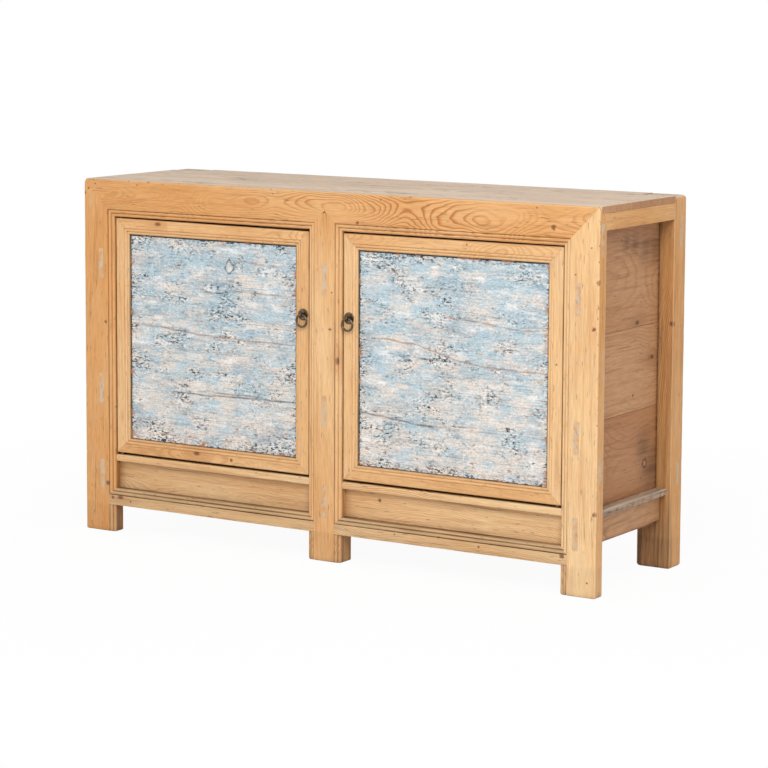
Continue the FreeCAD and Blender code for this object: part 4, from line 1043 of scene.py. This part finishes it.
class SIDEBOARD_OT_ring_pulls(bpy.types.Operator):
    """Builds the forged rings, their eyes and the hammered plates"""

    bl_idname = "sideboard.ring_pulls"
    bl_label = "Ring pulls"

    def execute(self, context):
        for number, side in enumerate(SIDES):
            low, high = BOX[f"{side}_pull_ring"]
            middle = (low + high) / 2
            wire = (high[1] - low[1]) / 2
            radius = (high[0] - low[0]) / 2 - wire
            top = high[2] - wire
            angle = np.linspace(0, 2 * math.pi, 72, endpoint=False)
            path = middle + radius * np.stack([np.sin(angle), 0 * angle, np.cos(angle)], 1)
            worn_top = 0.1 * np.exp(-(np.sin(angle / 2) / 0.22) ** 2)
            thick = wire * (0.97 + 0.03 * np.cos(3 * angle + number) - worn_top)
            forged("ring", side, f"{side}_ring", tube(path, thick, True))
            eye_y = middle[1]

            # Plate: a turned profile with a rolled rim that dips towards the middle, its outline uneven
            low, high = BOX[f"{side}_pull_plate"]
            middle = (low + high) / 2
            rim, height = (high[0] - low[0]) / 2, high[1] - low[1]
            share = np.linspace(0.0, 1.0, 24)
            reach = rim * np.concatenate([[0.12, 0.999], 1.0 - 0.86 * share])[:, None]
            roll, dip = (np.sin(np.clip(part, 0, 1) * math.pi / 2)
                         for part in (share / 0.2, (share - 0.2) / 0.35))
            rise = height * np.concatenate([[0.0, 0.0], 0.3 + 0.7 * (roll - 0.4 * dip ** 2)])[:, None]
            around = np.linspace(0, 2 * math.pi, 64, endpoint=False)[None, :]
            uneven = 1 - 0.012 * (1 + np.sin(5 * around + number) * np.sin(3 * around)) * (reach > 0.5 * rim)
            points = np.stack([middle[0] + reach * uneven * np.sin(around), high[1] - rise + 0 * around,
                               middle[2] + reach * uneven * np.cos(around)], -1)
            forged("plate", side, f"{side}_door", points)

            # Eye: a wire bent into a loop round the ring, its legs through the plate and clenched behind it
            eye = np.array([middle[0], eye_y, top])
            low, high = BOX[f"{side}_pull_eye"]
            bend = eye[1] - low[1] - EYE_WIRE
            turn = np.linspace(-0.82 * math.pi, 0.82 * math.pi, 40)
            loop = eye + bend * np.stack([0 * turn, -np.cos(turn), np.sin(turn)], 1)
            leg = np.linspace(0.15, 1, 14)[:, None]
            face = high[1] - 0.0016
            spread = np.linspace(0.001, (high - low)[2] / 2 - 0.0015, 10)
            ends = []
            for sign, start in ((-1, loop[0]), (1, loop[-1])):
                shank = start + (np.array([eye[0], face, eye[2] + sign * EYE_LEG_SHIFT]) - start) * leg
                clench = np.stack([0 * spread + eye[0], face + 0.0008 + 0 * spread,
                                   eye[2] + sign * (EYE_LEG_SHIFT + spread)], 1)
                ends.append(np.concatenate([shank, clench]))
            path = np.concatenate([ends[0][::-1], loop, ends[1]])
            forged("eye", side, f"{side}_door", tube(path, EYE_WIRE, False, 10), ring=False)
        for name in ("left_door_pivots", "right_door_pivots", "top_nails"):
            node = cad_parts[name]
            node.data.materials.clear()
            node.data.materials.append(bpy.data.materials["forged_iron"])
        return {"FINISHED"}


class SIDEBOARD_OT_top_boards(bpy.types.Operator):
    """Lays the worn boards of the top"""

    bl_idname = "sideboard.top_boards"
    bl_label = "Top boards"

    def execute(self, context):
        for number, (name, tone) in enumerate((("front", 0.4), ("middle", 0.6), ("rear", 0.5))):
            low, high = BOX[f"top_board_{name}"]
            shells = []
            for corners in planks(low, high, ALONG_Y, (low[1], high[1])):
                shells += notched(*corners, 71 + number, tone=tone, end_grime=0.0)
            piece = make_piece(f"top_{name}", shells, "weathered_pine", "weathered_top", f"top_board_{name}")
            second_finish(piece, "brown_pine", lambda centres, normals: np.abs(normals[:, 0]) > 0.7)
        return {"FINISHED"}


class SIDEBOARD_OT_end_frames(bpy.types.Operator):
    """Builds the rails, boarded panels and worn ledges of both ends"""

    bl_idname = "sideboard.end_frames"
    bl_label = "End frames"

    def execute(self, context):
        s = context.scene.sideboard_sizes
        for number, (side, sign) in enumerate(SIDES.items()):
            span = (Y_POST, Y_REAR)
            make_rail(f"end_top_rail_{side}", f"upper_side_rail_{side}", ALONG_Y, span, 81 + number,
                      "waxed_pine", "honey_pine", radius=0.002, tone=0.7, dust=-0.05, figure=0.5,
                      heart=(0.07, 0.05))
            make_rail(f"end_low_rail_{side}", f"lower_side_rail_{side}", ALONG_Y, span, 84 + number,
                      "brown_pine", "brown_side", radius=0.002, tone=0.1)

            low, high = BOX[f"side_panel_{side}"].copy()
            high[1] = Y_REAR - 0.005
            joints = (low[2], low[2] + 0.198, low[2] + 0.394, high[2])
            shells = []
            for order, corners in enumerate(planks(low, high, UPRIGHT, joints)):
                shell = board(*corners, ALONG_Y, 87 + 4 * number + order, tone=(1.0, 0.4, 0.55)[order],
                              tilt=(0.0, 0.03), heart=(0.02, 0.13), figure=0.6, rounding=(0.0, 0.0),
                              joint=(0.5, 1.0))
                # Painted shade: a dark strip along the rear end, where the panel stops short of the rear post
                add_dirt_and_shade(shell, 1.4 * np.exp(-(high[1] - shell["points"][:, 1]) / 0.005))
                shells.append(shell)
            make_piece(f"end_panel_{side}", shells, "brown_pine", "brown_side", f"side_panel_{side}")

            # Ledge: its outer lip is bitten away towards the underside
            low, high = BOX[f"side_ledge_{side}"]
            shell = board(low, high, ALONG_Y, 97 + number, radius=0.003, spacing=0.003, step=0.0035, tone=0.9)
            x, y, z = shell["points"].T
            outer = low[0] if sign < 0 else high[0]
            depth = np.clip(1 - np.abs(x - outer) / 0.012, 0, 1)
            bite = np.clip(0.25 + 1.3 * swell(y, 0 * y, 99 + number, long=0.03, short=1.0), 0, 1) ** 1.5
            bite = depth * np.clip((high[2] - 0.002 - z) / (high[2] - low[2]), 0, 1) * bite
            shell["points"][:, 0] -= sign * s.ragged * bite
            add_dirt_and_shade(shell, 0.62 - 0.1 * depth + 0.5 * bite)
            make_piece(f"ledge_{side}", [shell], "weathered_pine", "brown_side", f"side_ledge_{side}")
        return {"FINISHED"}


class SIDEBOARD_OT_rear_frame(bpy.types.Operator):
    """Builds the rear posts and rails and the boards of the back"""

    bl_idname = "sideboard.rear_frame"
    bl_label = "Rear frame"

    def execute(self, context):
        for number, side in enumerate(SIDES):
            low, high = BOX[f"rear_post_{side}"]
            shell = board(low, high, UPRIGHT, 101 + number, radius=0.003, rounding=(0.008, 0.009), tone=0.75,
                          end_grime=0.2)
            _, y, z = shell["points"].T
            # Painted shade on the rear post's front face, in the end's recess, deeper towards the foot
            foot = np.clip((0.21 - z) / 0.1, 0, 1)
            shaded = np.clip((low[1] + 0.004 - y) / 0.002, 0, 1) * (0.4 + 0.32 * foot)
            shell["grime"] = np.maximum(shell["grime"], shaded)
            soil_feet([shell])
            leg = make_piece(f"rear_leg_{side}", [shell], "waxed_pine", "honey_pine", f"rear_post_{side}")
            second_finish(leg, "weathered_pine", lambda centres, normals: centres[:, 2] > Z_TOP - 0.003)
        low, high = BOX["rear_post_centre"]
        brown = ("brown_pine", "inner_pine")
        span = (low[2], BOX["rear_top_rail"][0][2])
        make_rail("rear_leg_centre", "rear_post_centre", UPRIGHT, span, 104, *brown, radius=0.002,
                  rounding=(0.006, 0.0), tone=0.6)
        make_rail("rear_upper_rail", "rear_top_rail", ALONG_X, (-REAR_REACH, REAR_REACH), 105, *brown,
                  radius=0.002)
        bays = {"left": (-REAR_REACH, low[0]), "right": (high[0], REAR_REACH)}
        for number, (bay, span) in enumerate(bays.items()):
            make_rail(f"rear_lower_rail_{bay}", f"rear_bottom_rail_{bay}", ALONG_X, span, 106 + number,
                      *brown, radius=0.002)
            boards = BOX[f"back_boards_{bay}"]
            joints = np.linspace(*boards[:, 2], 4)
            shells = [board(*corners, ALONG_X, 111 + 3 * number + order, tone=(0.3, 0.6, 0.45)[order],
                            tilt=(0.02, 0.05))
                      for order, corners in enumerate(planks(*boards, UPRIGHT, joints, BACK_GAP))]
            make_piece(f"back_planks_{bay}", shells, *brown, f"back_boards_{bay}")
        return {"FINISHED"}


class SIDEBOARD_OT_inner_frame(bpy.types.Operator):
    """Builds the bearers whose tenons show on the posts, the floor, the shelf and the door stops"""

    bl_idname = "sideboard.inner_frame"
    bl_label = "Inside"

    def execute(self, context):
        brown = ("brown_pine", "inner_pine")
        seed = 121
        for kind in ("floor_bearer", "shelf_bearer", "upper_stretcher"):
            for where in ("left", "centre", "right"):
                seed += 1
                span = (BOX[f"front_post_{where}"][1][1], BOX[f"rear_post_{where}"][0][1])
                make_rail(f"{kind}_rail_{where}", f"{kind}_{where}", ALONG_Y, span, seed, *brown,
                          radius=0.002)
                low, high = BOX[f"{kind}_{where}"]
                cheek = CENTRE_CHEEK if where == "centre" else 0.0
                x0 = low[0] + cheek if where != "right" else high[0] - TENON_WIDTH
                x1 = x0 + TENON_WIDTH
                ends = [board((x0, y0, low[2]), (x1, y1, high[2]), ALONG_Y, seed, radius=0.0025,
                              rounding=rounding)
                        for y0, y1, rounding in ((Y_FRONT - PROUD, Y_FRONT + PLUG_DEPTH, (0.0005, 0.0)),
                                                 (Y_BACK - PLUG_DEPTH, Y_BACK + PROUD, (0.0, 0.0005)))]
                make_piece(f"{kind}_tenon_{where}", ends, "pine_end_grain", "inner_pine")
        for name in ("floor", "shelf"):
            low, high = BOX[f"{name}_boards"]
            shells = []
            for order, corners in enumerate(planks(low, high, ALONG_Y, np.linspace(low[1], high[1], 4))):
                shells += notched(*corners, 141 + order, tone=(0.4, 0.6, 0.5)[order])
            make_piece(f"{name}_planks", shells, *brown, f"{name}_boards")

        # Ends of tenons on the outer sides of the posts: where they begin in depth, their lower and upper end
        plugs = ((Y_FRONT + 0.012, 0.771, 0.846), (Y_FRONT + 0.012, 0.244, 0.318),
                 (Y_REAR + 0.03, 0.758, 0.836), (Y_REAR + 0.03, 0.2, 0.253))
        for side, sign in SIDES.items():
            x0, x1 = sorted((sign * (X_OUT - PLUG_DEPTH), sign * (X_OUT + PROUD)))
            shells = [board((x0, y, z0), (x1, y + PLUG_WIDTH, z1), UPRIGHT, 161 + order, radius=0.0004,
                            rounding=(0.0, 0.0))
                      for order, (y, z0, z1) in enumerate(plugs)]
            make_piece(f"tenon_plugs_{side}", shells, "pine_end_grain", "honey_pine")
        low, high = BOX["door_stops"]
        spans = ((low[0], low[0] + STOP_LENGTH), (high[0] - STOP_LENGTH, high[0]))
        shells = [board((x0, *low[1:]), (x1, *high[1:]), ALONG_X, 151 + order)
                  for order, (x0, x1) in enumerate(spans)]
        make_piece("door_stop_strips", shells, *brown, "door_stops")
        return {"FINISHED"}


def seen_directly(tree):
    """1 for rays from the camera, a mirror or a clear surface, and 0 for those that light the scene."""
    rays = add(tree, "LightPath")
    seen = rays["Is Camera Ray"]
    for kind in ("Is Glossy Ray", "Is Transmission Ray"):
        seen = add(tree, "Math", {0: seen, 1: rays[kind]}, operation="MAXIMUM")[0]
    return seen


class SIDEBOARD_OT_stage(bpy.types.Operator):
    """Sets the pale floor, the soft lights and the camera"""

    bl_idname = "sideboard.stage"
    bl_label = "Stage"

    def execute(self, context):
        scene = context.scene
        mesh = bpy.data.meshes.new("floor")
        reach, level = 30.0, -0.0006
        corners = [(x * reach, y * reach, level) for x, y in ((-1, -1), (1, -1), (1, 1), (-1, 1))]
        mesh.from_pydata(corners, [], [(0, 1, 2, 3)])
        floor = bpy.data.objects.new("floor", mesh)
        scene.collection.objects.link(floor)

        # Matt white studio floor: near the part it shows a little of its shadow, further off it is white
        tree = blank("studio_floor")
        away = add(tree, "VectorMath", {0: add(tree, "TexCoord")["Object"]}, operation="LENGTH")["Value"]
        white = add(tree, "MapRange", {"Value": away, "From Min": 0.7, "From Max": 2.2, "To Min": 0.95,
                                       "To Max": 1.0}, **SMOOTH)["Result"]
        plain = add(tree, "Math", {0: seen_directly(tree), 1: white}, operation="MULTIPLY")[0]
        matt = add(tree, "BsdfDiffuse", {"Color": (0.9, 0.9, 0.9, 1.0)})[0]
        glow = add(tree, "Emission", {"Color": (1, 1, 1, 1), "Strength": 1.0})[0]
        add(tree, "OutputMaterial", {"Surface": add(tree, "MixShader", {0: plain, 1: matt, 2: glow})[0]})
        mesh.materials.append(bpy.data.materials["studio_floor"])

        world = bpy.data.worlds.new("studio")
        world.use_nodes = True
        tree = world.node_tree
        tree.nodes.clear()
        seen = seen_directly(tree)
        strength = add(tree, "MapRange", {"Value": seen, "To Min": 0.5, "To Max": 1.0})["Result"]
        sky = add(tree, "Background", {"Color": (1, 1, 1, 1), "Strength": strength})[0]
        add(tree, "OutputWorld", {"Surface": sky})
        scene.world = world

        for name, place, aim, size, power in (("key", (2.3, -3.0, 3.2), (0.1, 0.0, 0.4), 2.2, 118.0),
                                              ("fill", (-3.0, -2.6, 1.8), (0.0, 0.0, 0.4), 2.5, 25.0)):
            light = bpy.data.lights.new(name, "AREA")
            light.size = size
            light.energy = power
            lamp = bpy.data.objects.new(name, light)
            scene.collection.objects.link(lamp)
            back = np.array(place) - np.array(aim)
            back /= np.linalg.norm(back)
            right = np.cross((0, 0, 1), back)
            right /= np.linalg.norm(right)
            turned = np.column_stack([right, np.cross(back, right), back])
            lamp.matrix_world = Matrix(turned.tolist()).to_4x4()
            lamp.location = place

        data = bpy.data.cameras.new("camera")
        data.sensor_width = 36.0
        data.lens = 128.85
        data.shift_y = -0.12
        camera = bpy.data.objects.new("camera", data)
        scene.collection.objects.link(camera)
        azimuth, elevation, roll = (math.radians(angle) for angle in (32.33, 6.633, 0.291))
        flat = math.cos(elevation)
        ahead = np.array([-math.sin(azimuth) * flat, math.cos(azimuth) * flat, -math.sin(elevation)])
        right = np.array([math.cos(azimuth), math.sin(azimuth), 0.0])
        up = np.cross(right, ahead)
        turned = np.column_stack([math.cos(roll) * right + math.sin(roll) * up,
                                  math.cos(roll) * up - math.sin(roll) * right, -ahead])
        camera.matrix_world = Matrix(turned.tolist()).to_4x4()
        camera.location = (3.561, -5.5852, 1.3986)
        scene.camera = camera
        scene.view_settings.view_transform = "Standard"
        return {"FINISHED"}


class SIDEBOARD_PT_panel(bpy.types.Panel):
    """Lists the steps that dress the sideboard"""

    bl_idname = "SIDEBOARD_PT_panel"
    bl_label = "Sideboard"
    bl_space_type = "VIEW_3D"
    bl_region_type = "UI"
    bl_category = "Sideboard"

    def draw(self, context):
        for step in STEPS:
            self.layout.operator(step.bl_idname)
        for group in (context.scene.sideboard_sizes, context.scene.sideboard_colours):
            column = self.layout.column()
            for name in group.__annotations__:
                column.prop(group, name)


STEPS = (SIDEBOARD_OT_finishes, SIDEBOARD_OT_front_frame, SIDEBOARD_OT_front_boards, SIDEBOARD_OT_door_frames,
         SIDEBOARD_OT_door_panels, SIDEBOARD_OT_ring_pulls, SIDEBOARD_OT_top_boards, SIDEBOARD_OT_end_frames,
         SIDEBOARD_OT_rear_frame, SIDEBOARD_OT_inner_frame, SIDEBOARD_OT_stage)
CLASSES = (SideboardSizes, SideboardColours, *STEPS, SIDEBOARD_PT_panel)


def register():
    for kind in CLASSES:
        bpy.utils.register_class(kind)
    bpy.types.Scene.sideboard_sizes = PointerProperty(type=SideboardSizes)
    bpy.types.Scene.sideboard_colours = PointerProperty(type=SideboardColours)


def unregister():
    del bpy.types.Scene.sideboard_colours
    del bpy.types.Scene.sideboard_sizes
    for kind in reversed(CLASSES):
        bpy.utils.unregister_class(kind)


def main():
    """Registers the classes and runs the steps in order."""
    register()
    for step in STEPS:
        group, name = step.bl_idname.split(".")
        getattr(getattr(bpy.ops, group), name)()


if __name__ == "__main__":
    main()
